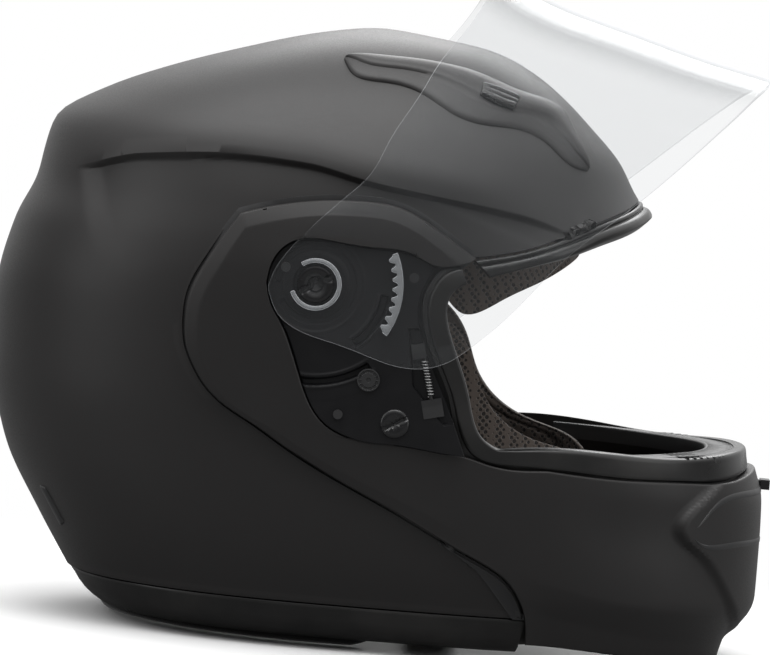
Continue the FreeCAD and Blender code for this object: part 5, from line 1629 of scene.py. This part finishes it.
def surroundings():
    """White to the camera; to the helmet a softbox sky, bright above and behind, dim in front."""
    world = bpy.data.worlds.new("surroundings")
    world.use_nodes = True
    nodes = world.node_tree.nodes
    links = world.node_tree.links
    parts = nodes.new("ShaderNodeSeparateXYZ")
    links.new(nodes.new("ShaderNodeTexCoord").outputs["Generated"], parts.inputs["Vector"])
    sky = []
    for axis, low, high, level in (("Z", 0.1, 0.95, 1.15), ("Y", 0.1, 0.9, 0.55)):
        sky.append(remapped(world.node_tree, parts.outputs[axis], low, high, 0.0, level))
    total = nodes.new("ShaderNodeMath")
    links.new(sky[0], total.inputs[0])
    links.new(sky[1], total.inputs[1])
    base = nodes.new("ShaderNodeMath")
    base.inputs[1].default_value = 0.14
    links.new(total.outputs["Value"], base.inputs[0])
    level = nodes.new("ShaderNodeMix")
    links.new(nodes.new("ShaderNodeLightPath").outputs["Is Camera Ray"], level.inputs["Factor"])
    links.new(base.outputs["Value"], level.inputs["A"])
    level.inputs["B"].default_value = 1.0
    links.new(level.outputs["Result"], nodes["Background"].inputs["Strength"])
    nodes["Background"].inputs["Color"].default_value = (1.0, 1.0, 1.0, 1.0)
    return world


def lamp(name, size, power, place, target):
    """Soft square lamp aimed at a point, in metres and watts."""
    light = bpy.data.lights.new(name, "AREA")
    light.shape = "RECTANGLE"
    light.size, light.size_y = size
    light.energy = power
    thing = bpy.data.objects.new(name, light)
    bpy.context.scene.collection.objects.link(thing)
    thing.location = place
    thing.rotation_euler = (Vector(target) - Vector(place)).to_track_quat("-Z", "Y").to_euler()
    return thing


class HELMET_OT_stage(bpy.types.Operator):
    """Pale floor, soft lamps, white surroundings and the camera"""
    bl_idname = "helmet.stage"
    bl_label = "Stage"

    def execute(self, context):
        scene = context.scene
        reach = 3.0
        level = float(CAD_LOW[2]) - 0.0003
        corners = [(x, y, level) for x in (-reach, reach) for y in (-reach, reach)]
        mesh = bpy.data.meshes.new("floor")
        mesh.from_pydata(corners, [], [(0, 2, 3, 1)])
        floor = bpy.data.objects.new("floor", mesh)
        scene.collection.objects.link(floor)
        mesh.materials.append(seen_white(finish("pale_floor")))
        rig.stage(floor)
        scene.world = surroundings()
        target = (0.0, 0.0, 0.14)
        lamp("top", (1.5, 1.0), 15.0, (-0.1, -0.35, 1.6), target)
        lamp("front", (0.8, 1.2), 4.5, (1.6, -0.7, 0.5), target)
        lamp("rear", (0.8, 1.2), 4.5, (-1.6, -0.8, 0.6), target)
        lamp("back", (1.0, 0.6), 8.0, (0.2, 1.4, 1.1), target)
        scene.view_settings.view_transform = "Standard"
        self.camera(scene)
        return {"FINISHED"}

    def camera(self, scene):
        """Long lens on the wearer's right, a little above, rolled five degrees."""
        roll = math.radians(5.0)
        rise = math.radians(3.5)
        right = Vector((math.cos(roll), 0.0, math.sin(roll)))
        up = Vector((-math.sin(roll), 0.0, math.cos(roll)))
        ahead = Vector((0.0, 1.0, 0.0)) * math.cos(rise) - up * math.sin(rise)
        up = up * math.cos(rise) + Vector((0.0, 1.0, 0.0)) * math.sin(rise)
        reach = 2.6
        target = Vector((-0.0005, 0.0, 0.1418)) - up * 0.0035
        view = bpy.data.cameras.new("camera")
        view.sensor_width = 36.0
        view.lens = 36.0 * reach / 0.3504
        view.clip_end = 50.0
        thing = bpy.data.objects.new("camera", view)
        scene.collection.objects.link(thing)
        place = target - ahead * reach
        thing.matrix_world = Matrix((
            (right.x, up.x, -ahead.x, place.x),
            (right.y, up.y, -ahead.y, place.y),
            (right.z, up.z, -ahead.z, place.z),
            (0.0, 0.0, 0.0, 1.0)))
        scene.camera = thing


class HELMET_PT_panel(bpy.types.Panel):
    """Sizes, colours and the building steps"""
    bl_label = "Helmet"
    bl_space_type = "VIEW_3D"
    bl_region_type = "UI"
    bl_category = "Helmet"

    def draw(self, context):
        for group in (context.scene.helmet_sizes, context.scene.helmet_colours):
            for key in group.bl_rna.properties.keys():
                if key not in ("rna_type", "name"):
                    self.layout.prop(group, key)
        for operator in OPERATORS:
            self.layout.operator(operator.bl_idname)


OPERATORS = (
    HELMET_OT_stage, HELMET_OT_outer_shell, HELMET_OT_chin_bar, HELMET_OT_visor, HELMET_OT_gaskets,
    HELMET_OT_neck, HELMET_OT_pads, HELMET_OT_vents, HELMET_OT_side_plates, HELMET_OT_straps,
    HELMET_OT_frame_finishes,
)
CLASSES = (HelmetSizes, HelmetColours) + OPERATORS + (HELMET_PT_panel,)


def register():
    for kind in CLASSES:
        bpy.utils.register_class(kind)
    bpy.types.Scene.helmet_sizes = PointerProperty(type=HelmetSizes)
    bpy.types.Scene.helmet_colours = PointerProperty(type=HelmetColours)


def unregister():
    del bpy.types.Scene.helmet_colours
    del bpy.types.Scene.helmet_sizes
    for kind in reversed(CLASSES):
        bpy.utils.unregister_class(kind)


def main():
    register()
    for operator in OPERATORS:
        group, name = operator.bl_idname.split(".")
        getattr(getattr(bpy.ops, group), name)()
    low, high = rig.bounds()
    with open("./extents.json", "w") as target:
        json.dump({"cad": [list(CAD_LOW), list(CAD_HIGH)], "model": [list(low), list(high)]}, target)


if __name__ == "__main__":
    main()
